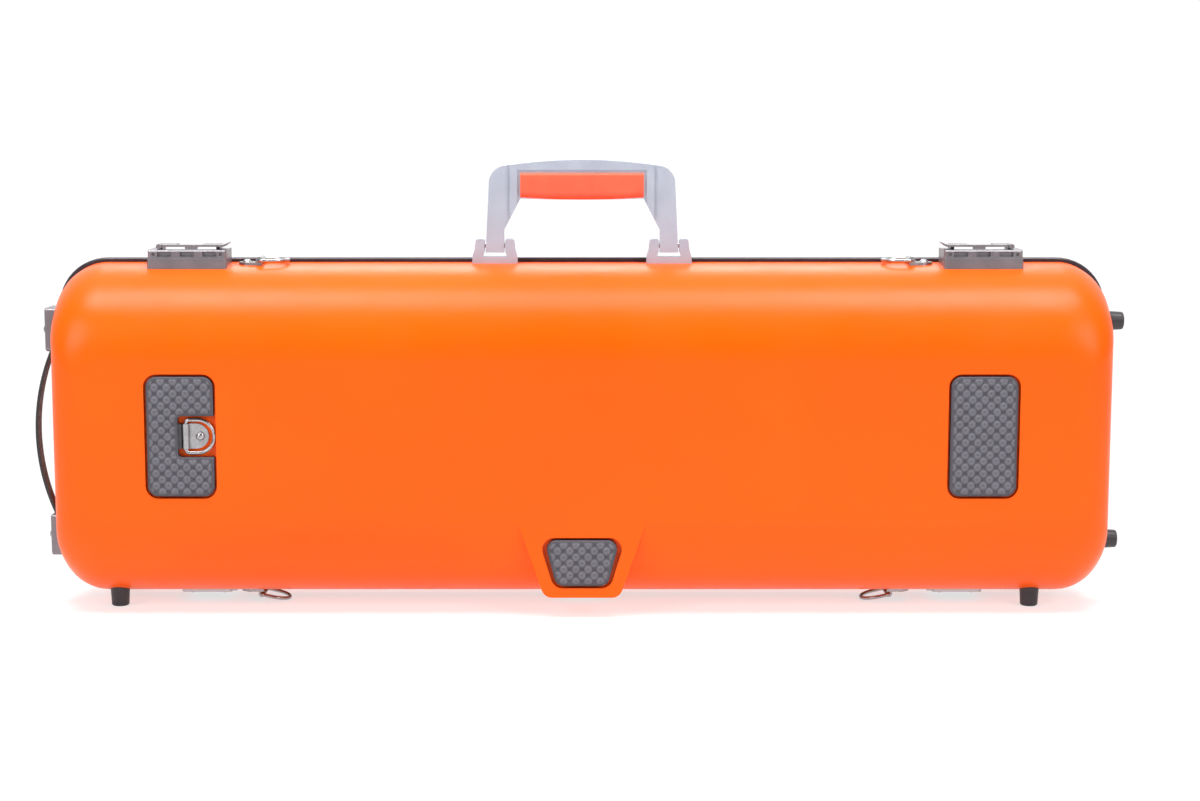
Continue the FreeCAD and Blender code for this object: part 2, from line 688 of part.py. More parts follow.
def handle_outline():
    """Half of the handle frame's outline seen from the front, for x >= 0."""
    leg_low = PIVOT_Z - LEG_DROP
    outer = BRACKET_X + LEG_HALF
    inner = BRACKET_X - LEG_HALF
    knee = RIM_Z + KNEE_RISE
    beam_low = RIM_Z + GRIP_BOTTOM_RISE
    shoulder = RIM_Z + SHOULDER_RISE
    top = RIM_Z + HANDLE_TOP_RISE
    outer_top = outer - 2.4
    start_turn = Vec(outer_top - 0.3, 0, shoulder - SHOULDER_RADIUS * 0.75)
    end_turn = Vec(SHOULDER_HALF, 0, shoulder)
    middle = Vec(outer_top - 3.9, 0, shoulder - 3.9)
    crown = Vec(0, 0, top)
    side_point = Vec(SHOULDER_HALF / 2, 0, top - (top - shoulder) * 0.27)
    return [Part.LineSegment(Vec(0, 0, beam_low), Vec(GRIP_HALF, 0, beam_low)),
            Part.LineSegment(Vec(GRIP_HALF, 0, beam_low), Vec(inner, 0, knee)),
            Part.LineSegment(Vec(inner, 0, knee), Vec(inner, 0, leg_low)),
            Part.LineSegment(Vec(inner, 0, leg_low), Vec(outer, 0, leg_low)),
            Part.LineSegment(Vec(outer, 0, leg_low), start_turn),
            Part.Arc(start_turn, middle, end_turn),
            Part.Arc(end_turn, side_point, crown),
            Part.LineSegment(crown, Vec(0, 0, beam_low))]


def handle_frame(grip):
    half = Part.Face(Part.Wire([piece.toShape() for piece in handle_outline()]))
    half.translate(Vec(0, BRACKET_Y - HANDLE_THICKNESS / 2, 0))
    slab = half.extrude(Vec(0, HANDLE_THICKNESS, 0))
    fat = half.copy()
    fat.translate(Vec(0, -(GRIP_BEAM_THICKNESS - HANDLE_THICKNESS) / 2, 0))
    fat = fat.extrude(Vec(0, GRIP_BEAM_THICKNESS, 0))
    beam_cut = RIM_Z + KNEE_RISE + GRIP_BEAM_REACH
    thick_zone = box(0, GRIP_HALF + GRIP_BEAM_REACH, BRACKET_Y - 20, BRACKET_Y + 20, beam_cut, RIM_Z + 120)
    thick = fat.common(thick_zone)
    half_bow = slab.fuse(thick).removeSplitter()
    bow = half_bow.fuse(mirrored_x(half_bow)).removeSplitter()
    low = RIM_Z + GRIP_BOTTOM_RISE - 5
    high = RIM_Z + GRIP_TOP_RISE + GRIP_BORDER
    side = GRIP_BEAM_THICKNESS / 2 - GRIP_BORDER_DEPTH
    for direction in (-1, 1):
        y0, y1 = sorted((BRACKET_Y + direction * side, BRACKET_Y + direction * (side + 6)))
        bow = bow.cut(box(-GRIP_HALF - GRIP_BORDER, GRIP_HALF + GRIP_BORDER, y0, y1, low, high))
    legs = []
    for leg in (-1, 1):
        start = Vec(leg * BRACKET_X - 12, BRACKET_Y, PIVOT_Z)
        legs.append(rod(start, X, HANDLE_PIN_R + RUNNING, 24))
    return bow.cut([grip] + legs)


def handle_grip():
    """Soft grip let into the beam, its underside slightly bellied."""
    low = RIM_Z + GRIP_BOTTOM_RISE
    top = RIM_Z + GRIP_TOP_RISE
    y0 = BRACKET_Y - GRIP_THICKNESS / 2
    edges = [Part.LineSegment(Vec(-GRIP_HALF, y0, top), Vec(GRIP_HALF, y0, top)),
             Part.LineSegment(Vec(GRIP_HALF, y0, top), Vec(GRIP_HALF, y0, low)),
             Part.Arc(Vec(GRIP_HALF, y0, low), Vec(0, y0, low - GRIP_BELLY), Vec(-GRIP_HALF, y0, low)),
             Part.LineSegment(Vec(-GRIP_HALF, y0, low), Vec(-GRIP_HALF, y0, top))]
    face = Part.Face(Part.Wire([piece.toShape() for piece in edges]))
    solid = face.extrude(Vec(0, GRIP_THICKNESS, 0))
    lower = [edge for edge in solid.Edges
             if edge.BoundBox.ZMax < low + 0.01 and edge.BoundBox.XLength > GRIP_HALF]
    solid = solid.makeFillet(GRIP_LOWER_ROUND, lower)
    upper = [edge for edge in solid.Edges
             if edge.BoundBox.ZMin > top - 0.01 and edge.BoundBox.XLength > GRIP_HALF]
    return solid.makeFillet(GRIP_UPPER_ROUND, upper)


# ==== latches (drawn at x = 0 with the handle towards +X) =====================
def rise(value):
    return RIM_Z + value


def latch_base():
    low = RIM_Z - 5
    body = box(-LATCH_HALF, LATCH_HALF, LATCH_FRONT_Y, LATCH_REAR_Y, low, rise(LATCH_RISE))
    front_top = [edge for edge in body.Edges
                 if edge.BoundBox.ZMin > rise(LATCH_RISE) - 0.01
                 and edge.BoundBox.YMax < LATCH_FRONT_Y + 0.01]
    uprights = [edge for edge in edges_along(body, Z) if edge.BoundBox.YMax < LATCH_FRONT_Y + 0.01]
    body = body.makeFillet(LATCH_ROUND, front_top + uprights)
    steps = []
    for number, height in enumerate(LATCH_STEP_HEIGHTS, 1):
        out = LATCH_STEP * number
        step = box(-LATCH_HALF - 0.2 * number, LATCH_HALF + 0.2 * number, LATCH_FRONT_Y - out,
                   LATCH_FRONT_Y + 4, low, rise(height))
        step = step.makeFillet(2.0, [edge for edge in edges_along(step, Z)
                                     if edge.BoundBox.YMax < LATCH_FRONT_Y])
        steps.append(step)
    body = fused([body] + steps)
    trough_front = LATCH_FRONT_Y + FRONT_WALL
    trough = box(-CHEEK_INNER, CHEEK_INNER, trough_front, LATCH_REAR_Y + 1,
                 rise(LATCH_FLOOR), rise(LATCH_RISE) + 1)
    cutters = [trough]
    y_pocket = LATCH_FRONT_Y + WINDOW_DEPTH
    for number in (-1, 0, 1):
        x = number * WINDOW_PITCH
        cutters.append(box(x - WINDOW_WIDTH / 2, x + WINDOW_WIDTH / 2, LATCH_FRONT_Y - 3, y_pocket,
                           rise(WINDOW_SILL), rise(WINDOW_SILL + WINDOW_HEIGHT)))
    for side in (-1, 1):
        x = side * PEEP_OFFSET
        z = WINDOW_SILL + WINDOW_HEIGHT / 2
        cutters.append(box(x - PEEP_SIZE / 2, x + PEEP_SIZE / 2, LATCH_FRONT_Y - 3, y_pocket - 1,
                           rise(z - PEEP_SIZE / 2), rise(z + PEEP_SIZE / 2)))
        start = Vec(side * 18 - (9 if side < 0 else 0), LEVER_AXIS_Y, rise(LEVER_AXIS_RISE))
        cutters.append(rod(start, X, LEVER_PIN_R, 9))
    return body.cut(cutters)


def latch_pins():
    """Two stub pins in the cheeks that carry the lever."""
    inner = CHEEK_INNER - LEVER_EAR - CLAW_SIDE_PLAY
    pins = []
    for side in (-1, 1):
        start = Vec(side * inner, LEVER_AXIS_Y, rise(LEVER_AXIS_RISE))
        pins.append(rod(start, X * side, LEVER_PIN_R, 27 - inner))
    return pins


def latch_lever():
    low = rise(LEVER_PLATE_LOW)
    high = rise(LEVER_PLATE_LOW + LEVER_PLATE)
    ear_out = CHEEK_INNER - LEVER_SIDE_PLAY
    narrow = box(-ear_out, ear_out, LEVER_WIDE_Y, LEVER_REAR_Y, low, high)
    wide = box(LEVER_OUTER_END, LEVER_INNER_END, LEVER_FRONT_Y, LEVER_WIDE_Y + 0.01, low, high)
    tip = [(LEVER_INNER_END - 0.01, low), (LEVER_INNER_END + LEVER_TIP, low + LEVER_TIP_RISE + 0.7),
           (LEVER_INNER_END + LEVER_TIP - 0.2, high + LEVER_TIP_RISE), (LEVER_INNER_END - 0.01, high)]
    tip = prism_y(tip, LEVER_FRONT_Y, LEVER_WIDE_Y)
    rib = box(-1.6, 7.3, LEVER_FRONT_Y, LEVER_FRONT_Y + 5, rise(LATCH_RISE + 0.4), low + 0.01)
    side_bar = box(LEVER_OUTER_END - 1.2, LEVER_OUTER_END + 1, LEVER_FRONT_Y + 3, LEVER_WIDE_Y, low, high)
    barrel = rod(Vec(LEVER_OUTER_END - 2.9, LEVER_FRONT_Y, rise(LEVER_PLATE_LOW + 0.2)), Y,
                 LEVER_BARREL_R, LEVER_WIDE_Y - LEVER_FRONT_Y)
    solid_parts = [narrow, wide, tip, rib, side_bar, barrel]
    ear = [(LEVER_REAR_Y, high - 0.5), (LEVER_REAR_Y, rise(LEVER_AXIS_RISE - 2.6)),
           (LEVER_AXIS_Y + 1.5, rise(LEVER_AXIS_RISE - 3.6)), (CLAW_AXIS_Y, rise(CLAW_AXIS_RISE - 2.8)),
           (CLAW_AXIS_Y - 3.0, rise(CLAW_AXIS_RISE - 1.5)), (CLAW_AXIS_Y - 3.5, high - 0.5)]
    for side in (-1, 1):
        x0, x1 = sorted((side * (ear_out - LEVER_EAR), side * ear_out))
        solid_parts.append(prism_x(ear, x0, x1))
    solid = fused(solid_parts)
    slot_half = CLAW_HALF + CLAW_SLOT_GAP
    cutters = [box(-slot_half, slot_half, CLAW_SLOT_Y, LEVER_REAR_Y + 1, low - 1, high + 1)]
    cutters.append(rod(Vec(-THROUGH / 2, LEVER_AXIS_Y, rise(LEVER_AXIS_RISE)), X,
                       LEVER_PIN_R + RUNNING, THROUGH))
    cutters.append(rod(Vec(-THROUGH / 2, CLAW_AXIS_Y, rise(CLAW_AXIS_RISE)), X, CLAW_PIN_R, THROUGH))
    return solid.cut(cutters)


def claw_pin():
    half = CHEEK_INNER - 0.6
    return rod(Vec(-half, CLAW_AXIS_Y, rise(CLAW_AXIS_RISE)), X, CLAW_PIN_R, 2 * half)


def latch_claw():
    half = CHEEK_INNER - LEVER_EAR - CLAW_SIDE_PLAY
    axis = Vec(-half, CLAW_AXIS_Y, rise(CLAW_AXIS_RISE))
    barrel = rod(axis, X, CLAW_BARREL_R, 2 * half)
    plate = box(-CLAW_HALF, CLAW_HALF, CLAW_AXIS_Y, CLAW_NOSE_Y, rise(CLAW_LOW),
                rise(CLAW_LOW + CLAW_PLATE))
    nose = box(-CLAW_HALF, CLAW_HALF, CLAW_NOSE_Y - CLAW_NOSE, CLAW_NOSE_Y, rise(CLAW_LOW),
               rise(CLAW_LOW + CLAW_PLATE + 1.2))
    solid = fused([barrel, plate, nose])
    return solid.cut(rod(Vec(-THROUGH / 2, CLAW_AXIS_Y, rise(CLAW_AXIS_RISE)), X,
                         CLAW_PIN_R + RUNNING, THROUGH))


def latch_keeper():
    """Strike plate on the lid that the claw pulls against."""
    low = RIM_Z - 4
    y0 = LID_RIM_Y + 1.0
    plate = box(-KEEPER_HALF, KEEPER_HALF, y0, y0 + KEEPER_LENGTH, low, rise(KEEPER_PLATE))
    plate = plate.makeFillet(2.0, edges_along(plate, Z))
    lip = box(-KEEPER_HALF + 1, KEEPER_HALF - 1, KEEPER_Y - KEEPER_LIP / 2, KEEPER_Y + KEEPER_LIP / 2,
              rise(0), rise(KEEPER_RISE))
    return plate.fuse(lip).removeSplitter()


# ==== hinges ==================================================================
def hinge_leaf(x, side, outside):
    """One leaf: plate against its shell and its knuckles round the common axis."""
    low = HINGE_Z + 1.0
    top = -RIM_Z + 4
    if side < 0:
        y0, y1 = BASE_RIM_Y - LEAF_LENGTH, HINGE_Y
        spans = [(-HINGE_HALF, -KNUCKLE_SPLIT), (KNUCKLE_SPLIT, HINGE_HALF)]
        plate = box(x - HINGE_HALF, x + HINGE_HALF, y0, BASE_RIM_Y - 0.4, -RIM_Z - LEAF, top)
    else:
        y0, y1 = HINGE_Y, LID_RIM_Y + LEAF_LENGTH
        middle = KNUCKLE_SPLIT - KNUCKLE_PLAY
        spans = [(-middle, middle)]
        plate = box(x - HINGE_HALF, x + HINGE_HALF, HINGE_Y + KNUCKLE_R + LEAF_GAP, y1, -RIM_Z - LEAF, top)
    outer = y0 if side < 0 else y1
    plate = plate.makeFillet(HINGE_CORNER, [edge for edge in edges_along(plate, Z)
                                            if abs(edge.BoundBox.YMin - outer) < 0.01])
    parts = [plate]
    for x0, x1 in spans:
        parts.append(rod(Vec(x + x0, HINGE_Y, HINGE_Z), X, KNUCKLE_R, x1 - x0))
        link = (BASE_RIM_Y - 1, HINGE_Y) if side < 0 else (HINGE_Y, HINGE_Y + KNUCKLE_R + 1)
        parts.append(box(x + x0, x + x1, link[0], link[1], -RIM_Z - LEAF - LEAF_GAP, -RIM_Z - LEAF_GAP))
    solid = fused(parts)
    bore = HINGE_PIN_R if side < 0 else HINGE_PIN_R + RUNNING
    solid = solid.cut(rod(Vec(x - THROUGH / 2, HINGE_Y, HINGE_Z), X, bore, THROUGH))
    return solid.cut(outside)


def hinge_rivets(x, side, fasteners):
    """Two domed rivets through a leaf."""
    y = BASE_RIM_Y - LEAF_LENGTH / 2 - 2 if side < 0 else LID_RIM_Y + LEAF_LENGTH / 2 + 3
    for offset in (-HINGE_RIVET_X, HINGE_RIVET_X):
        fasteners.add(rivet, Vec(x + offset, y, -RIM_Z - LEAF), Z * -1,
                      LEAF + WALL - SHORT_OF_INSIDE)


# ==== side strap ==============================================================
def strap_tab(z0, z1):
    x1 = -HALF_LENGTH - STRAP_ROOT_RISE
    half = STRAP_TAB_WIDTH / 2
    return box(x1 - STRAP_THICKNESS, x1, MOUNT_Y - half, MOUNT_Y + half, z0, z1)


def side_strap():
    """Narrow rubber grab strap: an arc between two wider tabs inside its mounts."""
    x_in = -HALF_LENGTH - STRAP_ROOT_RISE
    x_out = x_in - STRAP_THICKNESS
    middle = (MOUNT_UPPER_LOW + MOUNT_LOWER_TOP) / 2
    bow = -HALF_LENGTH - STRAP_BOW
    y0 = MOUNT_Y - STRAP_WIDTH / 2
    a = Vec(x_out, y0, MOUNT_UPPER_LOW)
    b = Vec(bow, y0, middle)
    c = Vec(x_out, y0, MOUNT_LOWER_TOP)
    d = Vec(x_in, y0, MOUNT_LOWER_TOP)
    e = Vec(bow + STRAP_THICKNESS, y0, middle)
    f = Vec(x_in, y0, MOUNT_UPPER_LOW)
    edges = [Part.Arc(a, b, c), Part.LineSegment(c, d), Part.Arc(d, e, f), Part.LineSegment(f, a)]
    arc = Part.Face(Part.Wire([piece.toShape() for piece in edges])).extrude(Vec(0, STRAP_WIDTH, 0))
    upper = strap_tab(MOUNT_UPPER_LOW, MOUNT_UPPER_LOW + STRAP_TAB)
    lower = strap_tab(MOUNT_LOWER_TOP - STRAP_TAB, MOUNT_LOWER_TOP)
    return fused([arc, upper, lower])


def side_mount(z0, z1, strap, outside, fasteners):
    x_out = -HALF_LENGTH - MOUNT_RISE
    cap = box(x_out, -HALF_LENGTH + 6, MOUNT_Y - MOUNT_DEPTH / 2, MOUNT_Y + MOUNT_DEPTH / 2, z0, z1)
    cap = cap.makeFillet(MOUNT_CORNER, edges_along(cap, X))
    outer_edges = [edge for edge in cap.Edges if edge.BoundBox.XMax < x_out + 0.01]
    cap = cap.makeFillet(MOUNT_EDGE, outer_edges)
    middle = (z0 + z1) / 2
    for y in (MOUNT_Y - MOUNT_RIVET_Y, MOUNT_Y + MOUNT_RIVET_Y):
        depth = MOUNT_RISE + (HALF_LENGTH - end_x(y)) + WALL - SHORT_OF_INSIDE
        fasteners.add(rivet, Vec(x_out, y, middle), X * -1, depth)
    return cap.cut([strap, outside])


# ==== padded interior =========================================================
def violin_form(shrink, y0, y1):
    """Waisted body outline: two round bouts joined by a waist."""
    lower = rod(Vec(LOWER_BOUT_X, y0, 0), Y, LOWER_BOUT_R - shrink, y1 - y0)
    upper = rod(Vec(UPPER_BOUT_X, y0, 0), Y, UPPER_BOUT_R - shrink, y1 - y0)
    waist = box(UPPER_BOUT_X, LOWER_BOUT_X, y0, y1, -WAIST_HALF + shrink, WAIST_HALF - shrink)
    whole = fused([lower, upper, waist])
    inner = [edge for edge in edges_along(whole, Y)
             if abs(abs(edge.BoundBox.ZMin) - (WAIST_HALF - shrink)) < 0.5]
    return whole.makeFillet(WAIST_BLEND, inner)


def soft_box(x0, x1, y0, y1, z0, z1, corner):
    solid = box(x0, x1, y0, y1, z0, z1)
    return solid.makeFillet(corner, edges_along(solid, Y))


def cradle_cavities():
    above = CRADLE_TOP_Y + 5
    cavities = [violin_form(0.0, CAVITY_Y, above), violin_form(RELIEF_LEDGE, RELIEF_Y, above)]
    cavities.append(box(NECK_FAR_X, UPPER_BOUT_X - UPPER_BOUT_R + NECK_OVERRUN, NECK_FLOOR_Y, above,
                        -NECK_HALF, NECK_HALF))
    cavities.append(soft_box(NECK_FAR_X - 6, NECK_FAR_X + SCROLL_LENGTH, CRADLE_TOP_Y - SCROLL_DEPTH, above,
                             -SCROLL_HALF, SCROLL_HALF, POCKET_CORNER))
    cavities.append(soft_box(WELL_FAR_X, WELL_NEAR_X, CRADLE_TOP_Y - WELL_DEPTH, above,
                             -WELL_HALF, WELL_HALF, POCKET_CORNER))
    for side in (-1, 1):
        z0, z1 = sorted((side * POCKET_LOW_Z, side * POCKET_HIGH_Z))
        cavities.append(soft_box(POCKET_FAR_X, POCKET_NEAR_X, CRADLE_TOP_Y - POCKET_DEPTH, above,
                                 z0, z1, POCKET_CORNER))
    return cavities


def cradle_foam():
    block = base_form(WALL + LINER_GAP, 0.0)
    over = box(-HALF_LENGTH, HALF_LENGTH, CRADLE_TOP_Y, 0, -RIM_Z, RIM_Z)
    clear_bosses = back_pads(BASE_FACE_Y, RECESS_Y + WALL + LINER_GAP, PAD_GAP + BOSS_MARGIN + LINER_GAP)
    return block.cut([over] + clear_bosses + cradle_cavities())


def crowned_block(x0, x1, y0, y1, half):
    solid = box(x0, x1, y0, y1, -half, half)
    top = [edge for edge in solid.Edges if edge.BoundBox.YMin > y1 - 0.01]
    return solid.makeFillet(BLOCK_CROWN, top)


def neck_rest():
    y1 = NECK_FLOOR_Y + NECK_REST_RISE
    block = box(NECK_REST_X - NECK_REST_HALF, NECK_REST_X + NECK_REST_HALF, NECK_FLOOR_Y, y1,
                -NECK_HALF + SOFT_GAP, NECK_HALF - SOFT_GAP)
    groove = rod(Vec(NECK_REST_X - 40, y1 + NECK_GROOVE_R - 8, 0), X, NECK_GROOVE_R, 80)
    return block.cut(groove)


def neck_strap():
    """Hook-and-loop strap over the neck, hinged in the foam on the handle side."""
    half = NECK_STRAP_WIDTH / 2
    y0 = CRADLE_TOP_Y + 0.8
    return box(NECK_REST_X - half, NECK_REST_X + half, y0, y0 + NECK_STRAP_THICKNESS,
               -NECK_STRAP_HINGE_Z, NECK_STRAP_HINGE_Z + 1)


def lid_lining():
    outer = lid_form(WALL + LINER_GAP, 0.0)
    inner = lid_form(WALL + LINER_GAP + LINING, -1.0)
    rim = box(-HALF_LENGTH, HALF_LENGTH, LID_RIM_Y - 2, LID_RIM_Y + LID_LINING_START, -RIM_Z, RIM_Z)
    return outer.cut([inner, rim])


def lid_cushion():
    y1 = LINING_FACE_Y - SOFT_GAP
    solid = box(CUSHION_X - CUSHION_HALF_X, CUSHION_X + CUSHION_HALF_X, y1 - CUSHION_THICKNESS, y1,
                -CUSHION_HALF_Z, CUSHION_HALF_Z)
    solid = solid.makeFillet(CUSHION_CORNER, edges_along(solid, Y))
    front = [edge for edge in solid.Edges if edge.BoundBox.YMax < y1 - CUSHION_THICKNESS + 0.01]
    return solid.makeFillet(CUSHION_EDGE, front)


def bow_mount(z):
    y1 = LINING_FACE_Y
    base = rod(Vec(BOW_CLIP_X, y1 - BOW_BASE, z), Y, BOW_BASE_HALF, BOW_BASE)
    post = rod(Vec(BOW_CLIP_X, y1 - BOW_CLIP_STAND - BOW_CLIP_THICKNESS - 1.5, z), Y, BOW_POST_R,
               BOW_CLIP_STAND + BOW_CLIP_THICKNESS + 1.5)
    cap = rod(Vec(BOW_CLIP_X, y1 - BOW_CLIP_STAND - BOW_CLIP_THICKNESS - 2.5, z), Y, BOW_POST_R + 2, 2.0)
    return fused([base, post, cap])


def bow_clip(z):
    """Turn button that holds a bow stick against the lid."""
    y1 = LINING_FACE_Y - BOW_CLIP_STAND
    outline = rectangle(BOW_CLIP_X, z, BOW_CLIP_WIDTH / 2, BOW_CLIP_HALF)
    solid = rounded_prism_y(outline, y1 - BOW_CLIP_THICKNESS + 0.3, y1, BOW_CLIP_WIDTH / 2 - 0.5)
    return solid.cut(rod(Vec(BOW_CLIP_X, y1 - 20, z), Y, BOW_POST_R + RUNNING, 40))


def frog_pocket(z):
    """Padded pocket open towards the neck end for a bow's frog."""
    y1 = LINING_FACE_Y
    y0 = y1 - FROG_POCKET_RISE
    x1 = FROG_POCKET_X + FROG_POCKET_LENGTH
    shape = box(FROG_POCKET_X, x1, y0, y1, z - FROG_POCKET_HALF, z + FROG_POCKET_HALF)
    skin = FROG_POCKET_SKIN
    room = box(FROG_POCKET_X - 1, x1 - skin, y0 + skin, y1 - skin,
               z - FROG_POCKET_HALF + skin, z + FROG_POCKET_HALF - skin)
    return shape.cut(room)


# ==== assembly ================================================================
def build():
    parts = {}
    base_outside = base_form()
    lid_outside = lid_form()
    base_fasteners = Fasteners()
    lid_fasteners = Fasteners()

    # strap rings and their clips
    back_seat = Vec(BACK_RING_X, RECESS_Y, BACK_RING_Z)
    parts["ring_clip_back"] = placed(clip_local(1), back_seat, X, Y * -1).cut(
        box(-HALF_LENGTH, 0, RECESS_Y, RECESS_Y + 10, -RIM_Z, RIM_Z))
    parts["ring_back"] = placed(ring_local(), back_seat - Y * RING_LIFT, X, Y * -1)
    base_fasteners.add(rivet, back_seat + X * RIVET_REACH - Y * SLEEVE_SKIN, Y * -1,
                       SLEEVE_SKIN + WALL - SHORT_OF_INSIDE)
    top_clips = []
    bottom_clips = []
    rows = (("left", 1, TOP_RING_LEFT_X, BOTTOM_RING_LEFT_X),
            ("right", -1, TOP_RING_RIGHT_X, BOTTOM_RING_RIGHT_X))
    for name, inward, top_x, bottom_x in rows:
        for place, x, up in (("top", top_x, Z), ("bottom", bottom_x, Z * -1)):
            seat = Vec(x, RING_ROW_Y, 0) + up * RIM_Z
            along = X * inward
            clip = placed(clip_local(-1), seat, along, up).cut(base_outside)
            (top_clips if place == "top" else bottom_clips).append(clip)
            ring = placed(ring_local(), seat + up * RING_LIFT, along, up)
            if place == "bottom":
                ring = turned(ring, seat + up * RING_LIFT, Y * inward, RING_DROOP_DEG)
            parts["ring_%s_%s" % (place, name)] = ring
            base_fasteners.add(rivet, seat - along * RIVET_REACH + up * SLEEVE_SKIN, up,
                               SLEEVE_SKIN + WALL - SHORT_OF_INSIDE)
    parts["ring_clips_top"] = group(top_clips)
    parts["ring_clips_bottom"] = group(bottom_clips)

    # carrying handle
    grip = handle_grip()
    parts["handle_grip"] = grip
    parts["handle_frame"] = handle_frame(grip)
    pins = []
    for name, side in (("left", -1), ("right", 1)):
        bracket = handle_bracket(side, base_outside)
        screw_holes = []
        for offset in (BRACKET_SCREW_INSET - BRACKET_FOOT_HALF, BRACKET_FOOT_HALF - BRACKET_SCREW_INSET):
            x = side * BRACKET_X + offset
            screw_holes.append(rod(Vec(x, BRACKET_Y, RIM_Z - 8), Z, RIVET_SHANK_R + HOLE_CLEARANCE, 11))
            start = Vec(x, BRACKET_Y, RIM_Z + BRACKET_SCREW_SEAT)
            length = BRACKET_SCREW_SEAT + WALL
            base_fasteners.solids.append(rod(start, Z * -1, RIVET_SHANK_R, length - 0.6))
            base_fasteners.holes.append(rod(start, Z * -1, RIVET_SHANK_R + HOLE_CLEARANCE, length + 1))
        parts["handle_bracket_" + name] = bracket.cut(screw_holes)
        start = Vec(side * BRACKET_X - BRACKET_TOP_HALF + 0.4, BRACKET_Y, PIVOT_Z)
        pins.append(rod(start, X, HANDLE_PIN_R, 2 * (BRACKET_TOP_HALF - 0.4)))
    parts["handle_pins"] = group(pins)

    # latches; the right one mirrors the left one
    stub_pins = []
    for name, x, flip in (("left", LATCH_LEFT_X, False), ("right", LATCH_RIGHT_X, True)):
        def put(shape):
            shape = mirrored_x(shape) if flip else shape.copy()
            shape.translate(Vec(x, 0, 0))
            return shape
        floor_rivets = []
        for offset in (-LATCH_RIVET_X, LATCH_RIVET_X):
            seat = Vec(x + offset, LATCH_RIVET_Y, rise(LATCH_FLOOR))
            base_fasteners.solids.append(rod(seat, Z * -1, RIVET_SHANK_R, LATCH_FLOOR + WALL))
            hole = rod(seat + Z * 0.01, Z * -1, RIVET_SHANK_R + HOLE_CLEARANCE, LATCH_FLOOR + WALL + 2)
            floor_rivets.append(hole)
            base_fasteners.holes.append(hole)
        parts["latch_base_" + name] = put(latch_base()).cut([base_outside] + floor_rivets)
        parts["latch_lever_" + name] = put(latch_lever())
        parts["latch_claw_" + name] = put(latch_claw())
        parts["claw_pin_" + name] = put(claw_pin())
        parts["latch_keeper_" + name] = put(latch_keeper()).cut(lid_outside)
        stub_pins += [put(pin) for pin in latch_pins()]
    parts["latch_pins"] = group(stub_pins)

    # feet
    base_feet = []
    lid_feet = []
    for x in (FOOT_LEFT_X, FOOT_RIGHT_X):
        for y, outside, fasteners, feet, wall in (
                (BASE_FOOT_Y, base_outside, base_fasteners, base_feet, wall_z(BASE_FOOT_Y)),
                (LID_FOOT_Y, lid_outside, lid_fasteners, lid_feet, lid_wall_z(LID_FOOT_Y))):
            seat = Vec(x, y, -wall)
            feet.append(foot(seat, Z * -1, -wall - FLOOR_Z, outside, fasteners))
    parts["base_standing_feet"] = group(base_feet)
    parts["lid_standing_feet"] = group(lid_feet)
    base_end = []
    lid_end = []
    for z in (END_FOOT_HIGH_Z, END_FOOT_LOW_Z):
        for y, outside, fasteners, feet, wall in (
                (BASE_END_FOOT_Y, base_outside, base_fasteners, base_end, end_x(BASE_END_FOOT_Y)),
                (LID_END_FOOT_Y, lid_outside, lid_fasteners, lid_end,
                 end_x(LID_END_FOOT_Y, LID_RIM_Y, LID_DEPTH, LID_END_ROUND))):
            feet.append(foot(Vec(wall, y, z), X, HALF_LENGTH + END_FOOT_RISE - wall, outside, fasteners))
    parts["base_end_feet"] = group(base_end)
    parts["lid_end_feet"] = group(lid_end)

    # side strap
    strap = side_strap()
    upper = side_mount(MOUNT_UPPER_LOW, MOUNT_UPPER_TOP, strap, base_outside, base_fasteners)
    lower = side_mount(MOUNT_LOWER_LOW, MOUNT_LOWER_TOP, strap, base_outside, base_fasteners)
    parts["side_strap"] = strap.cut(base_fasteners.holes[-4:])
    parts["side_mount_upper"] = upper.cut(base_fasteners.holes[-4:])
    parts["side_mount_lower"] = lower.cut(base_fasteners.holes[-4:])

    # hinges
    pins = []
    for name, x in (("neck_end", -HINGE_X), ("middle", 0.0), ("body_end", HINGE_X)):
        before = len(base_fasteners.holes)
        hinge_rivets(x, -1, base_fasteners)
        leaf = hinge_leaf(x, -1, base_outside)
        parts["hinge_base_leaf_" + name] = leaf.cut(base_fasteners.holes[before:])
        before = len(lid_fasteners.holes)
        hinge_rivets(x, 1, lid_fasteners)
        leaf = hinge_leaf(x, 1, lid_outside)
        parts["hinge_lid_leaf_" + name] = leaf.cut(lid_fasteners.holes[before:])
        pins.append(rod(Vec(x - HINGE_HALF, HINGE_Y, HINGE_Z), X, HINGE_PIN_R, 2 * HINGE_HALF))
    parts["hinge_pins"] = group(pins)

    # shells, seal and pads
    parts["base_shell"] = base_shell(base_outside, base_fasteners.holes)
    parts["lid_shell"] = lid_shell(lid_outside, lid_fasteners.holes)
    parts["rim_seal"] = rim_seal()
    parts["strap_pad"] = plain_pad(pad_outline(-1), PAD_CORNER).cut(notch())
    parts["end_pad"] = plain_pad(pad_outline(1), PAD_CORNER)
    parts["heel_pad"] = plain_pad(heel_outline(), HEEL_CORNER)
    parts["base_fasteners"] = group(base_fasteners.solids)
    parts["lid_fasteners"] = group(lid_fasteners.solids)

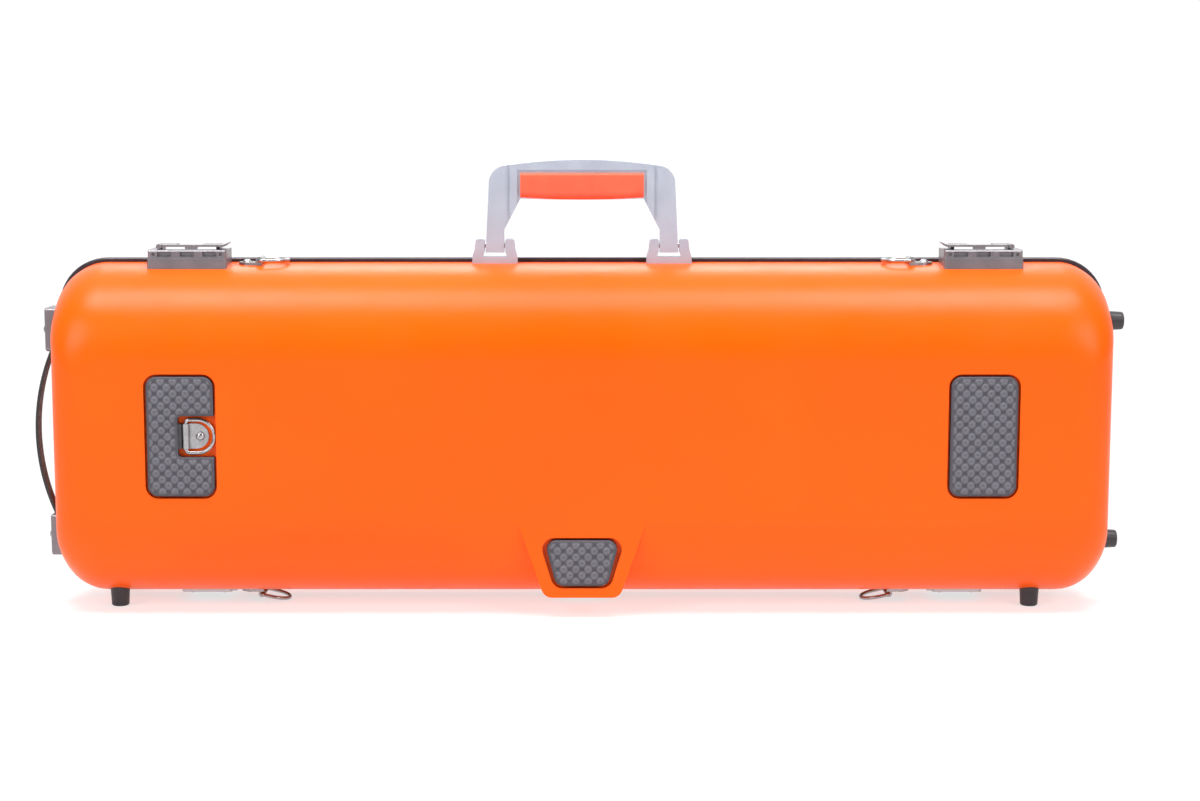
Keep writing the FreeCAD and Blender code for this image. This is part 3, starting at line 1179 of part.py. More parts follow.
    # padded interior
    parts["cradle_foam"] = cradle_foam()
    for name, centre, radius, half, toward in (
            ("upper_block_cushion", UPPER_BOUT_X, UPPER_BOUT_R, BLOCK_HALF, -1),
            ("lower_block_cushion", LOWER_BOUT_X, LOWER_BOUT_R, BLOCK_HALF + LOWER_BLOCK_EXTRA, 1)):
        reach = math.sqrt((radius - RELIEF_LEDGE) ** 2 - half ** 2) - BLOCK_END_GAP
        x0, x1 = sorted((centre + toward * reach, centre + toward * (reach - BLOCK_LENGTH)))
        parts[name] = crowned_block(x0, x1, RELIEF_Y, CAVITY_Y + 3, half)
    parts["neck_rest"] = neck_rest()
    parts["neck_strap"] = neck_strap()
    parts["lid_lining"] = lid_lining()
    parts["lid_cushion"] = lid_cushion()
    parts["bow_clip_mounts"] = group([bow_mount(BOW_Z), bow_mount(-BOW_Z)])
    parts["bow_clip_upper"] = bow_clip(BOW_Z)
    parts["bow_clip_lower"] = bow_clip(-BOW_Z)
    parts["frog_pockets"] = group([frog_pocket(BOW_Z), frog_pocket(-BOW_Z)])
    return parts


def footprint_shift():
    """Move that puts the origin in the middle of the footprint, on the floor."""
    x_low = -HALF_LENGTH - STRAP_BOW
    x_high = HALF_LENGTH + END_FOOT_RISE
    return Vec(-(x_low + x_high) / 2, -(PAD_FACE_Y + LID_FACE_Y) / 2, -FLOOR_Z)


def main():
    os.makedirs("parts", exist_ok=True)
    shift = footprint_shift()
    for name, shape in build().items():
        shape = shape.copy()
        shape.translate(shift)
        shape.exportStep(os.path.join("parts", name + ".step"))


main()
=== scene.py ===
import json
import math

import bmesh
import bpy
import numpy as np
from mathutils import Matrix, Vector


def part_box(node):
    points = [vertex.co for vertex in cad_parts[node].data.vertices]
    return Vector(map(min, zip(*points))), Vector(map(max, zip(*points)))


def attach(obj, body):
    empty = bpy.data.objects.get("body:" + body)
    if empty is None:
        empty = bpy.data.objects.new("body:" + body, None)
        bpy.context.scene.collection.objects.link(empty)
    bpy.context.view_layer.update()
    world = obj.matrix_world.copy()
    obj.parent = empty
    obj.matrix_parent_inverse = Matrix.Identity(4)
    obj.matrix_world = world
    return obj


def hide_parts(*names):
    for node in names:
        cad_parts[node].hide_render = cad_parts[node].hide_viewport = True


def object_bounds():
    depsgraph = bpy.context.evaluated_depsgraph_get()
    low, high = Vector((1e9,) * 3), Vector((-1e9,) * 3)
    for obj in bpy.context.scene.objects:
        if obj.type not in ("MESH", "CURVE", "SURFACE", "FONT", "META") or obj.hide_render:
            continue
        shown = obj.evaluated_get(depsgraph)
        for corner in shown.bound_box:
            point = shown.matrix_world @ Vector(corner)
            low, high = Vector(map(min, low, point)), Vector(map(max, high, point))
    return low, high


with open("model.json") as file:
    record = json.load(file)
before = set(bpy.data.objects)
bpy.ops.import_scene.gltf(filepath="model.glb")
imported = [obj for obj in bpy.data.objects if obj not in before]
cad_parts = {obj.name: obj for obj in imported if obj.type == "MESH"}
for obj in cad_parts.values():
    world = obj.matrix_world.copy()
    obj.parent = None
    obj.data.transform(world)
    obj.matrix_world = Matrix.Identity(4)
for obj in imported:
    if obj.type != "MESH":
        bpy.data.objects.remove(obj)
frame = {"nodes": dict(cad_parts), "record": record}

MM = 0.001
SEED = 7
WELD_DISTANCE = 2e-6
LEVEL_TOLERANCE = 2e-5
FACING_SQUARE = 0.99
FLAT_ANGLE = math.radians(0.6)
SHARP_ANGLE = math.radians(34)
CAD_BOX = [list(corner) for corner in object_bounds()]
NODES = frame["nodes"]

for stray_name in ("Cube", "Light", "Camera"):
    stray = bpy.data.objects.get(stray_name)
    if stray is not None:
        bpy.data.objects.remove(stray)


# ==== sizes of the moulded rubber pads ==================================================
PAD_STEP = 0.5 * MM
BUMP_PITCH = 9.0 * MM
BUMP_R = 3.18 * MM
BUMP_HEIGHT = 1.15 * MM
DIMPLE_R = 0.85 * MM
DIMPLE_DEPTH = 0.75 * MM
PAD_MARGIN = 1.4 * MM
PAD_EDGE_R = 1.1 * MM
PAD_CORNER = 7.5 * MM
SNAP_ROUNDS = 3
SNAP_INSIDE = 0.35 * PAD_STEP
SNAP_OUTSIDE = 0.9 * PAD_STEP
KEEP_OUTSIDE = 0.05 * PAD_STEP
SLOPE_STEP = 1e-5
NOTCH_DEPTH = 26.0 * MM
NOTCH_OVERRUN = 12.0 * MM
NOTCH_HALF = 15.1 * MM
NOTCH_CORNER = 3.0 * MM
HEEL_NARROW_HALF = 18.8 * MM
HEEL_CORNER = 7.0 * MM


# ==== materials =========================================================================
# darkest and lightest tone of each surface, linear
PALETTE = {
    "shell_orange": ((0.91, 0.097, 0.0003), (0.96, 0.108, 0.0006)),
    "pad_face": ((0.122, 0.119, 0.138), (0.138, 0.134, 0.156)),
    # painted shade for the pad's valleys between bumps
    "pad_painted_shade": ((0.062, 0.059, 0.071), (0.072, 0.069, 0.082)),
    "strap_rubber": ((0.016, 0.014, 0.018), (0.032, 0.029, 0.034)),
    "satin_silver": ((0.395, 0.445, 0.53), (0.46, 0.51, 0.60)),
    "satin_grey": ((0.19, 0.175, 0.19), (0.25, 0.23, 0.25)),
    "bright_steel": ((0.33, 0.32, 0.33), (0.48, 0.47, 0.48)),
    "hinge_steel": ((0.42, 0.42, 0.44), (0.66, 0.66, 0.68)),
    "grip_coral": ((0.78, 0.090, 0.040), (0.88, 0.116, 0.052)),
    "webbing_black": ((0.010, 0.010, 0.011), (0.055, 0.055, 0.060)),
    "clip_plastic": ((0.030, 0.030, 0.033), (0.060, 0.060, 0.066)),
    "table_white": ((0.40, 0.40, 0.40), (0.43, 0.43, 0.43)),
    "seal_rubber": ((0.014, 0.009, 0.015), (0.030, 0.020, 0.030)),
    "foot_rubber": ((0.018, 0.015, 0.019), (0.034, 0.030, 0.036)),
    "plush_grey": ((0.050, 0.052, 0.060), (0.150, 0.155, 0.175)),
    "velvet_orange": ((0.36, 0.050, 0.006), (0.70, 0.135, 0.022)),
    "stitch_thread": ((0.45, 0.10, 0.02), (0.78, 0.20, 0.05)),
}
NOISE_LOW = 0.3
NOISE_HIGH = 0.7
# depth below the pad top where the painted valley shade begins
SHADE_START = 0.25 * BUMP_HEIGHT


class Shader:
    """A Principled material under construction, in object coordinates (metres)."""

    def __init__(self, name, **constants):
        self.material = bpy.data.materials.new(name)
        self.material.use_nodes = True
        self.tree = self.material.node_tree
        self.bsdf = self.tree.nodes["Principled BSDF"]
        for key, value in constants.items():
            self.bsdf.inputs[key.replace("_", " ")].default_value = value
        self.position = self.add("ShaderNodeTexCoord").outputs["Object"]

    def add(self, kind, **settings):
        node = self.tree.nodes.new(kind)
        for key, value in settings.items():
            setattr(node, key, value)
        return node

    def link(self, source, target):
        self.tree.links.new(source, target)

    def stretched(self, scale):
        node = self.add("ShaderNodeMapping")
        node.inputs["Scale"].default_value = scale
        self.link(self.position, node.inputs["Vector"])
        return node.outputs["Vector"]

    def noise(self, scale, detail, roughness=0.55, stretch=None):
        node = self.add("ShaderNodeTexNoise")
        node.inputs["Scale"].default_value = scale
        node.inputs["Detail"].default_value = detail
        node.inputs["Roughness"].default_value = roughness
        position = self.stretched(stretch) if stretch else self.position
        self.link(position, node.inputs["Vector"])
        return node.outputs["Fac"]

    def cells(self, scale):
        node = self.add("ShaderNodeTexVoronoi")
        node.inputs["Scale"].default_value = scale
        self.link(self.position, node.inputs["Vector"])
        return node.outputs["Distance"]

    def waves(self, scale, direction):
        node = self.add("ShaderNodeTexWave", bands_direction=direction)
        node.inputs["Scale"].default_value = scale
        self.link(self.position, node.inputs["Vector"])
        return node.outputs["Fac"]

    def maths(self, operation, first, second):
        node = self.add("ShaderNodeMath", operation=operation)
        for socket, value in zip(node.inputs, (first, second)):
            if isinstance(value, (int, float)):
                socket.default_value = value
            else:
                self.link(value, socket)
        return node.outputs[0]

    def spread(self, value, low, high, out_low, out_high):
        node = self.add("ShaderNodeMapRange")
        self.link(value, node.inputs["Value"])
        limits = (("From Min", low), ("From Max", high), ("To Min", out_low), ("To Max", out_high))
        for key, number in limits:
            node.inputs[key].default_value = number
        return node.outputs["Result"]

    def between(self, value, low=0.0, high=1.0):
        """Spreads the usual range of a noise over low to high."""
        return self.spread(value, NOISE_LOW, NOISE_HIGH, low, high)

    def mixed(self, first, second, factor):
        node = self.add("ShaderNodeMix", data_type="RGBA")
        self.link(factor, node.inputs[0])
        for index, value in ((6, first), (7, second)):
            if isinstance(value, tuple):
                node.inputs[index].default_value = value + (1.0,)
            else:
                self.link(value, node.inputs[index])
        return node.outputs[2]

    def colour(self, socket):
        self.link(socket, self.bsdf.inputs["Base Color"])

    def roughness(self, socket):
        self.link(socket, self.bsdf.inputs["Roughness"])

    def relief(self, *layers):
        """Bump layers of (height, strength, distance in metres), the coarsest first."""
        normal = None
        for height, strength, distance in layers:
            bump = self.add("ShaderNodeBump")
            bump.inputs["Strength"].default_value = strength
            bump.inputs["Distance"].default_value = distance
            self.link(height, bump.inputs["Height"])
            if normal is not None:
                self.link(normal, bump.inputs["Normal"])
            normal = bump.outputs["Normal"]
        self.link(normal, self.bsdf.inputs["Normal"])


def shell_plastic():
    s = Shader("shell_orange", IOR=1.46, Specular_IOR_Level=0.22)
    cloud = s.noise(6.0, 2.0)
    s.colour(s.mixed(*PALETTE["shell_orange"], s.between(cloud)))
    handling = s.noise(38.0, 5.0, 0.6)
    s.roughness(s.spread(handling, 0.3, 0.75, 0.30, 0.39))
    s.relief((s.noise(160.0, 2.0), 0.10, 0.00012), (s.noise(1900.0, 2.0), 0.10, 0.00003))
    return s.material


def pad_rubber():
    """Matt grey rubber, with painted shade darkening the valleys between its bumps."""
    s = Shader("pad_grey", Specular_IOR_Level=0.4)
    dust = s.between(s.noise(90.0, 4.0))
    face = s.mixed(*PALETTE["pad_face"], dust)
    painted_shade = s.mixed(*PALETTE["pad_painted_shade"], dust)
    # painted shade: the colour darkens with depth from the dome tops down into the valleys between
    # the bumps
    split = s.add("ShaderNodeSeparateXYZ")
    s.link(s.position, split.inputs[0])
    top = CAD_BOX[0][1]
    depth = s.spread(split.outputs["Y"], top + SHADE_START, top + BUMP_HEIGHT, 0.0, 1.0)
    s.colour(s.mixed(face, painted_shade, depth))
    s.roughness(s.between(s.noise(500.0, 2.0), 0.50, 0.66))
    s.relief((s.noise(2600.0, 2.0), 0.25, 0.00006))
    return s.material


def dark_rubber(name, low, high, rough, scale):
    s = Shader(name, Specular_IOR_Level=0.5)
    s.colour(s.mixed(low, high, s.between(s.noise(70.0, 4.0))))
    s.roughness(s.between(s.noise(400.0, 2.0), rough - 0.06, rough + 0.08))
    s.relief((s.noise(scale, 2.0), 0.22, 0.00005))
    return s.material


def ribbed_rubber():
    s = Shader("strap_rubber", Specular_IOR_Level=0.5)
    s.colour(s.mixed(*PALETTE["strap_rubber"], s.noise(60.0, 4.0)))
    s.roughness(s.between(s.noise(300.0, 2.0), 0.36, 0.5))
    s.relief((s.waves(95.0, "Y"), 0.5, 0.0004), (s.noise(1800.0, 2.0), 0.2, 0.00005))
    return s.material


def silver_paint():
    s = Shader("satin_silver", Metallic=0.25, IOR=1.5)
    flake = s.cells(5200.0)
    cloud = s.noise(40.0, 3.0)
    s.colour(s.mixed(*PALETTE["satin_silver"], s.between(cloud)))
    s.roughness(s.between(s.noise(220.0, 4.0), 0.30, 0.42))
    s.relief((flake, 0.05, 0.00004))
    return s.material


def grey_metal():
    s = Shader("satin_grey", Metallic=0.55, IOR=1.5)
    cloud = s.noise(55.0, 4.0)
    s.colour(s.mixed(*PALETTE["satin_grey"], s.between(cloud)))
    s.roughness(s.between(s.noise(260.0, 4.0), 0.30, 0.44))
    s.relief((s.cells(4800.0), 0.06, 0.00004))
    return s.material


def bright_metal():
    s = Shader("bright_steel", Metallic=1.0)
    tone = s.between(s.noise(120.0, 4.0))
    s.colour(s.mixed(*PALETTE["bright_steel"], tone))
    scratch = s.noise(1400.0, 3.0, 0.6, (1.0, 1.0, 0.08))
    s.roughness(s.spread(scratch, 0.35, 0.7, 0.22, 0.38))
    s.relief((scratch, 0.05, 0.00004))
    return s.material


def brushed_metal():
    s = Shader("hinge_steel", Metallic=1.0)
    grain = s.noise(2600.0, 4.0, 0.6, (0.03, 1.0, 1.0))
    s.colour(s.mixed(*PALETTE["hinge_steel"], grain))
    s.roughness(s.between(grain, 0.26, 0.42))
    s.relief((grain, 0.12, 0.00005))
    return s.material


def grip_skin():
    s = Shader("grip_coral", Specular_IOR_Level=0.45)
    tone = s.between(s.noise(60.0, 4.0))
    s.colour(s.mixed(*PALETTE["grip_coral"], tone))
    s.roughness(s.between(s.noise(300.0, 2.0), 0.48, 0.62))
    s.relief((s.cells(1500.0), 0.25, 0.00008), (s.noise(2600.0, 2.0), 0.15, 0.00004))
    return s.material


def pile_fabric(name, low, high, sheen, pile_scale):
    """Short-pile plush: brushed patches over a fine fibre grain."""
    s = Shader(name, Sheen_Weight=sheen, Sheen_Roughness=0.4, Roughness=0.92,
               Specular_IOR_Level=0.15)
    brushed = s.noise(26.0, 5.0, 0.62)
    fibre = s.noise(pile_scale, 3.0, 0.7)
    tone = s.maths("ADD", s.maths("MULTIPLY", brushed, 0.65), s.maths("MULTIPLY", fibre, 0.45))
    s.colour(s.mixed(low, high, s.spread(tone, 0.35, 0.75, 0.0, 1.0)))
    s.relief((brushed, 0.20, 0.0012), (fibre, 0.55, 0.0005))
    return s.material


def webbing():
    s = Shader("webbing_black", Sheen_Weight=0.2, Roughness=0.8, Specular_IOR_Level=0.3)
    warp = s.waves(260.0, "X")
    weft = s.waves(170.0, "Z")
    weave = s.maths("MULTIPLY", warp, weft)
    s.colour(s.mixed(*PALETTE["webbing_black"], weave))
    s.relief((weave, 0.8, 0.0005), (s.noise(3000.0, 2.0), 0.2, 0.0001))
    return s.material


def thread(name, low, high):
    s = Shader(name, Roughness=0.7, Sheen_Weight=0.2)
    twist = s.noise(2200.0, 2.0, 0.5, (1.0, 0.35, 1.0))
    s.colour(s.mixed(low, high, twist))
    s.relief((twist, 0.5, 0.0002))
    return s.material


def moulded_black():
    s = Shader("clip_plastic", Specular_IOR_Level=0.5)
    tone = s.between(s.noise(80.0, 4.0))
    s.colour(s.mixed(*PALETTE["clip_plastic"], tone))
    s.roughness(s.between(s.noise(350.0, 2.0), 0.42, 0.58))
    s.relief((s.noise(2400.0, 2.0), 0.3, 0.00006))
    return s.material


LOOKS = {
    "shell_orange": shell_plastic(),
    "pad_grey": pad_rubber(),
    "seal_rubber": dark_rubber("seal_rubber", *PALETTE["seal_rubber"], 0.40, 1400.0),
    "foot_rubber": dark_rubber("foot_rubber", *PALETTE["foot_rubber"], 0.42, 1700.0),
    "strap_rubber": ribbed_rubber(),
    "satin_silver": silver_paint(),
    "satin_grey": grey_metal(),
    "bright_steel": bright_metal(),
    "hinge_steel": brushed_metal(),
    "grip_coral": grip_skin(),
    "plush_grey": pile_fabric("plush_grey", *PALETTE["plush_grey"], 0.45, 1500.0),
    "velvet_orange": pile_fabric("velvet_orange", *PALETTE["velvet_orange"], 0.40, 1900.0),
    "webbing_black": webbing(),
    "clip_plastic": moulded_black(),
}
THREAD = thread("stitch_thread", *PALETTE["stitch_thread"])


def dress_cad_nodes():
    """Every carried-over CAD node takes the procedural material of its slot."""
    slots = {part["node"]: part["material_slot"] for part in frame["record"]["subparts"]}
    for name, node in NODES.items():
        node.data.materials.clear()
        node.data.materials.append(LOOKS[slots[name]])


# nodes, rounding width, segments
EDGE_ROUNDING = (
    (("handle_frame",), 1.3 * MM, 4),
    (("handle_bracket_left", "handle_bracket_right"), 0.6 * MM, 3),
    (("latch_base_left", "latch_base_right"), 0.35 * MM, 3),
    (("latch_lever_left", "latch_lever_right"), 0.25 * MM, 2),
)


def soften_edges(names, width, segments):
    """Rounds a metal piece's tessellated edges with modifiers; the mesh stays as packed."""
    for name in names:
        node = NODES[name]
        weld = node.modifiers.new("weld", "WELD")
        weld.merge_threshold = WELD_DISTANCE
        flat = node.modifiers.new("flat", "DECIMATE")
        flat.decimate_type = "DISSOLVE"
        flat.angle_limit = FLAT_ANGLE
        bevel = node.modifiers.new("bevel", "BEVEL")
        bevel.width = width
        bevel.segments = segments
        bevel.limit_method = "ANGLE"
        bevel.angle_limit = SHARP_ANGLE
        normals = node.modifiers.new("normals", "WEIGHTED_NORMAL")
        normals.keep_sharp = False


# ==== mesh tools ========================================================================
def finish_piece(mesh_object, body, slot, *nodes):
    """Gives a new piece the material of its slot, attaches it to its body and hides the CAD nodes
    it stands for.
    """
    mesh_object.data.materials.clear()
    mesh_object.data.materials.append(LOOKS[slot])
    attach(mesh_object, body)
    if nodes:
        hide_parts(*nodes)


def linked_object(name, data):
    """A new object around `data`, linked into the scene."""
    made = bpy.data.objects.new(name, data)
    bpy.context.scene.collection.objects.link(made)
    return made


def shade(mesh, smooth=True):
    for face in mesh.polygons:
        face.use_smooth = smooth


def object_from(name, vertices, faces, smooth=True):
    mesh = bpy.data.meshes.new(name)
    mesh.from_pydata([tuple(v) for v in vertices], [], [tuple(f) for f in faces])
    mesh.update()
    shade(mesh, smooth)
    return linked_object(name, mesh)


def apply_modifiers(mesh_object):
    """Bakes an object's modifiers into its mesh."""
    graph = bpy.context.evaluated_depsgraph_get()
    mesh = bpy.data.meshes.new_from_object(mesh_object.evaluated_get(graph))
    mesh_object.modifiers.clear()
    mesh_object.data = mesh
    shade(mesh)


def welded(node_name):
    """A CAD node's mesh for reading, with its doubled points joined."""
    work = bmesh.new()
    work.from_mesh(NODES[node_name].data)
    bmesh.ops.remove_doubles(work, verts=work.verts, dist=WELD_DISTANCE)
    return work


def copy_of_node(node_name, name):
    """A welded working copy of a CAD node's mesh."""
    work = welded(node_name)
    mesh = bpy.data.meshes.new(name)
    work.to_mesh(mesh)
    work.free()
    made = linked_object(name, mesh)
    if mesh.has_custom_normals:
        with bpy.context.temp_override(active_object=made, object=made, selected_objects=[made]):
            bpy.ops.mesh.customdata_custom_splitnormals_clear()
    return made


def remesh(mesh_object, voxel, smoothing):
    """Rebuilds a form as an even mesh of `voxel` size and relaxes it."""
    even = mesh_object.modifiers.new("remesh", "REMESH")
    even.mode = "VOXEL"
    even.voxel_size = voxel
    apply_modifiers(mesh_object)
    relax = mesh_object.modifiers.new("relax", "SMOOTH")
    relax.factor = 0.5
    relax.iterations = smoothing
    apply_modifiers(mesh_object)


def vertex_values(mesh_object, key):
    flat = np.empty(len(mesh_object.data.vertices) * 3, np.float32)
    mesh_object.data.vertices.foreach_get(key, flat)
    return flat.reshape(-1, 3).astype(float)


def coordinates(mesh_object):
    return vertex_values(mesh_object, "co")


def normals_of(mesh_object):
    return vertex_values(mesh_object, "normal")


def set_coordinates(mesh_object, points):
    mesh_object.data.vertices.foreach_set("co", points.astype(np.float32).ravel())
    mesh_object.data.update()


def keep_in_box(mesh_object, node_name):
    low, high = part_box(node_name)
    points = np.clip(coordinates(mesh_object), np.array(low), np.array(high))
    set_coordinates(mesh_object, points)


def scale_about(mesh_object, low, high, shares):
    """Scales a form about the middle of the box from low to high."""
    centre = (np.array(low) + np.array(high)) / 2
    points = coordinates(mesh_object)
    set_coordinates(mesh_object, centre + (points - centre) * np.array(shares))


WAVE_COUNT = 6
WAVE_SPREAD = (0.6, 1.6)


def wander(points, scale, seed):
    """Smooth seeded variation between -1 and 1, from a few crossed sine waves."""
    chance = np.random.default_rng(seed)
    total = np.zeros(len(points))
    for _ in range(WAVE_COUNT):
        direction = chance.normal(size=3)
        direction *= scale * chance.uniform(*WAVE_SPREAD) / np.linalg.norm(direction)
        total += np.sin(points @ direction + chance.uniform(0, 2 * math.pi))
    return total / WAVE_COUNT


def uneven(mesh_object, node_name, scale, seed, height):
    """Gives a cover slight seeded unevenness, kept within its node's box."""
    points = coordinates(mesh_object)
    points += normals_of(mesh_object) * (wander(points, scale, seed) * height)[:, None]
    set_coordinates(mesh_object, points)
    keep_in_box(mesh_object, node_name)


CLOTH_FRAMES = 20
PUFF_SMOOTHING = 2


def puff(mesh_object, voxel, pressure, cap, pinned):
    """Swells a small fabric form with a cloth simulation; `pinned` says which points stay."""
    remesh(mesh_object, voxel, PUFF_SMOOTHING)
    start = coordinates(mesh_object)
    group = mesh_object.vertex_groups.new(name="pin")
    group.add([int(i) for i in np.nonzero(pinned(start))[0]], 1.0, "ADD")
    cloth = mesh_object.modifiers.new("cloth", "CLOTH")
    cloth.settings.use_pressure = True
    cloth.settings.uniform_pressure_force = pressure
    cloth.settings.vertex_group_mass = "pin"
    cloth.settings.effector_weights.gravity = 0.0
    cloth.settings.quality = 6
    cloth.settings.tension_stiffness = 12
    cloth.settings.bending_stiffness = 0.6
    cloth.point_cache.frame_start = 1
    cloth.point_cache.frame_end = CLOTH_FRAMES
    for number in range(1, CLOTH_FRAMES + 1):
        bpy.context.scene.frame_set(number)
    apply_modifiers(mesh_object)
    bpy.context.scene.frame_set(1)
    moved = coordinates(mesh_object) - start
    length = np.linalg.norm(moved, axis=1, keepdims=True)
    share = np.minimum(1.0, cap / np.maximum(length, 1e-9))
    set_coordinates(mesh_object, start + moved * share)
    mesh_object.vertex_groups.clear()
    refine = mesh_object.modifiers.new("refine", "SUBSURF")
    refine.levels = refine.render_levels = 1
    apply_modifiers(mesh_object)


TUBE_SIDES = 8


def tube(name, points, radius):
    """Round cord along a closed line, with its ring of sides kept from twisting."""
    points = [Vector(p) for p in points]
    count = len(points)
    vertices = []
    up = Vector((0, 1, 0))
    for index, point in enumerate(points):
        along = (points[(index + 1) % count] - points[index - 1]).normalized()
        side = along.cross(up)
        side = side.normalized() if side.length > 1e-6 else Vector((1, 0, 0))
        rise = side.cross(along).normalized()
        for step in range(TUBE_SIDES):
            angle = 2 * math.pi * step / TUBE_SIDES
            outward = side * (radius * math.cos(angle)) + rise * (radius * math.sin(angle))
            vertices.append(point + outward)
    faces = []
    for index in range(count):
        here = index * TUBE_SIDES
        after = (index + 1) % count * TUBE_SIDES
        for step in range(TUBE_SIDES):
            turn = (step + 1) % TUBE_SIDES
            faces.append((here + step, after + step, after + turn, here + turn))
    return object_from(name, vertices, faces)


def resampled(points, spacing):
    """The same closed line with evenly spaced points."""
    line = np.array([list(p) for p in points])
    line = np.vstack([line, line[:1]])
    lengths = np.linalg.norm(np.diff(line, axis=0), axis=1)
    along = np.concatenate([[0.0], np.cumsum(lengths)])
    count = max(4, int(round(along[-1] / spacing)))
    stations = np.linspace(0.0, along[-1], count + 1)[:-1]
    return np.column_stack([np.interp(stations, along, line[:, k]) for k in range(3)])


def edge_loops(node_name, level, facing):
    """Closed outlines of a CAD node's flat face at y = level that looks along `facing` Y."""
    work = welded(node_name)
    work.normal_update()
    rim = {}
    for edge in work.edges:
        is_level = all(abs(v.co.y - level) <= LEVEL_TOLERANCE for v in edge.verts)
        if not is_level or len(edge.link_faces) != 2:
            continue
        flat = [face.normal.y * facing > FACING_SQUARE for face in edge.link_faces]
        if flat[0] != flat[1]:
            for a, b in ((0, 1), (1, 0)):
                rim.setdefault(edge.verts[a], []).append(edge.verts[b])
    loops = []
    seen = set()
    for start in rim:
        if start in seen:
            continue
        loop = [start]
        seen.add(start)
        onward = [v for v in rim[start] if v not in seen]
        while onward:
            loop.append(onward[0])
            seen.add(onward[0])
            onward = [v for v in rim[loop[-1]] if v not in seen]
        if len(loop) > 3:
            loops.append([v.co.copy() for v in loop])
    work.free()
    return loops


# ==== rubber pads on the back ===========================================================
def inset_outline(points, inset):
    """A convex outline, counter-clockwise in (x, z), moved in by `inset`."""
    count = len(points)
    lines = []
    for index in range(count):
        a = np.array(points[index])
        b = np.array(points[(index + 1) % count])
        along = (b - a) / np.linalg.norm(b - a)
        inward = np.array([-along[1], along[0]])
        lines.append((a + inward * inset, along))
    corners = []
    for index in range(count):
        p, d = lines[index - 1]
        q, e = lines[index]
        step = np.linalg.solve(np.column_stack([d, -e]), q - p)
        corners.append(p + d * step[0])
    return corners


def outline_distance(points, corner):
    """Signed distance, negative inside, to a convex outline with rounded corners."""
    core = inset_outline(points, corner)

    def distance(x, z):
        here = np.stack([x, z], -1)
        nearest = np.full(x.shape, np.inf)
        inside = np.ones(x.shape, bool)
        for index, a in enumerate(core):
            b = core[(index + 1) % len(core)]
            along = b - a
            offset = here - a
            share = np.clip((offset @ along) / (along @ along), 0, 1)
            reach = np.linalg.norm(offset - share[..., None] * along, axis=-1)
            nearest = np.minimum(nearest, reach)
            inside &= along[0] * offset[..., 1] - along[1] * offset[..., 0] > 0
        return np.where(inside, -nearest, nearest) - corner

    return distance


def lattice_relief(x, z):
    """Height of the moulded bumps: round domes on a staggered lattice, each dimpled."""
    near = np.full(x.shape, np.inf)
    for shift in (0.0, BUMP_PITCH / 2):
        dx = (x - shift + BUMP_PITCH / 2) % BUMP_PITCH - BUMP_PITCH / 2
        dz = (z - shift + BUMP_PITCH / 2) % BUMP_PITCH - BUMP_PITCH / 2
        near = np.minimum(near, np.hypot(dx, dz))
    dome = np.sqrt(np.clip(1 - (near / BUMP_R) ** 2, 0, 1))
    return BUMP_HEIGHT * dome - DIMPLE_DEPTH * np.exp(-((near / DIMPLE_R) ** 2))


def rubber_pad(name, node_name, distance):
    """A moulded pad over the area where `distance` is negative, with bumps on its face."""
    low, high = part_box(node_name)
    xs = np.arange(low.x - PAD_STEP, high.x + 2 * PAD_STEP, PAD_STEP)
    zs = np.arange(low.z - PAD_STEP, high.z + 2 * PAD_STEP, PAD_STEP)
    x, z = np.meshgrid(xs, zs, indexing="ij")
    for _ in range(SNAP_ROUNDS):
        gap = distance(x, z)
        slope_x = (distance(x + SLOPE_STEP, z) - gap) / SLOPE_STEP
        slope_z = (distance(x, z + SLOPE_STEP) - gap) / SLOPE_STEP
        near = (gap > -SNAP_INSIDE) & (gap < SNAP_OUTSIDE)
        x = np.where(near, x - gap * slope_x, x)
        z = np.where(near, z - gap * slope_z, z)
    gap = distance(x, z)
    keep = gap < KEEP_OUTSIDE
    depth = np.clip(-gap, 0, None)
    shoulder = np.clip(1 - depth / PAD_EDGE_R, 0, 1)
    drop = PAD_EDGE_R * (1 - np.sqrt(1 - shoulder ** 2))
    fade = np.clip((depth - PAD_MARGIN) / PAD_MARGIN, 0, 1)
    centre_x = (low.x + high.x) / 2
    centre_z = (low.z + high.z) / 2
    y = low.y + BUMP_HEIGHT + drop - fade * lattice_relief(x - centre_x, z - centre_z)
    index = np.full(x.shape, -1)
    index[keep] = np.arange(keep.sum())
    vertices = np.column_stack([x[keep], y[keep], z[keep]])
    faces = []
    for i in range(x.shape[0] - 1):
        for j in range(x.shape[1] - 1):
            quad = (index[i, j], index[i + 1, j], index[i + 1, j + 1], index[i, j + 1])
            if min(quad) >= 0:
                faces.append(quad)
    pad = object_from(name, vertices, faces)
    work = bmesh.new()
    work.from_mesh(pad.data)
    bmesh.ops.delete(work, geom=[v for v in work.verts if not v.link_faces], context="VERTS")
    rim = [edge for edge in work.edges if edge.is_boundary]
    walls = bmesh.ops.extrude_edge_only(work, edges=rim)["geom"]
    for piece in walls:
        if isinstance(piece, bmesh.types.BMVert):
            piece.co.y = high.y
    back = [edge for edge in work.edges if edge.is_boundary]
    bmesh.ops.holes_fill(work, edges=back, sides=0)
    bmesh.ops.recalc_face_normals(work, faces=work.faces)
    work.to_mesh(pad.data)
    work.free()
    shade(pad.data)
    finish_piece(pad, "base", "pad_grey", node_name)


def rectangle_of(low, high):
    return [(low.x, low.z), (high.x, low.z), (high.x, high.z), (low.x, high.z)]


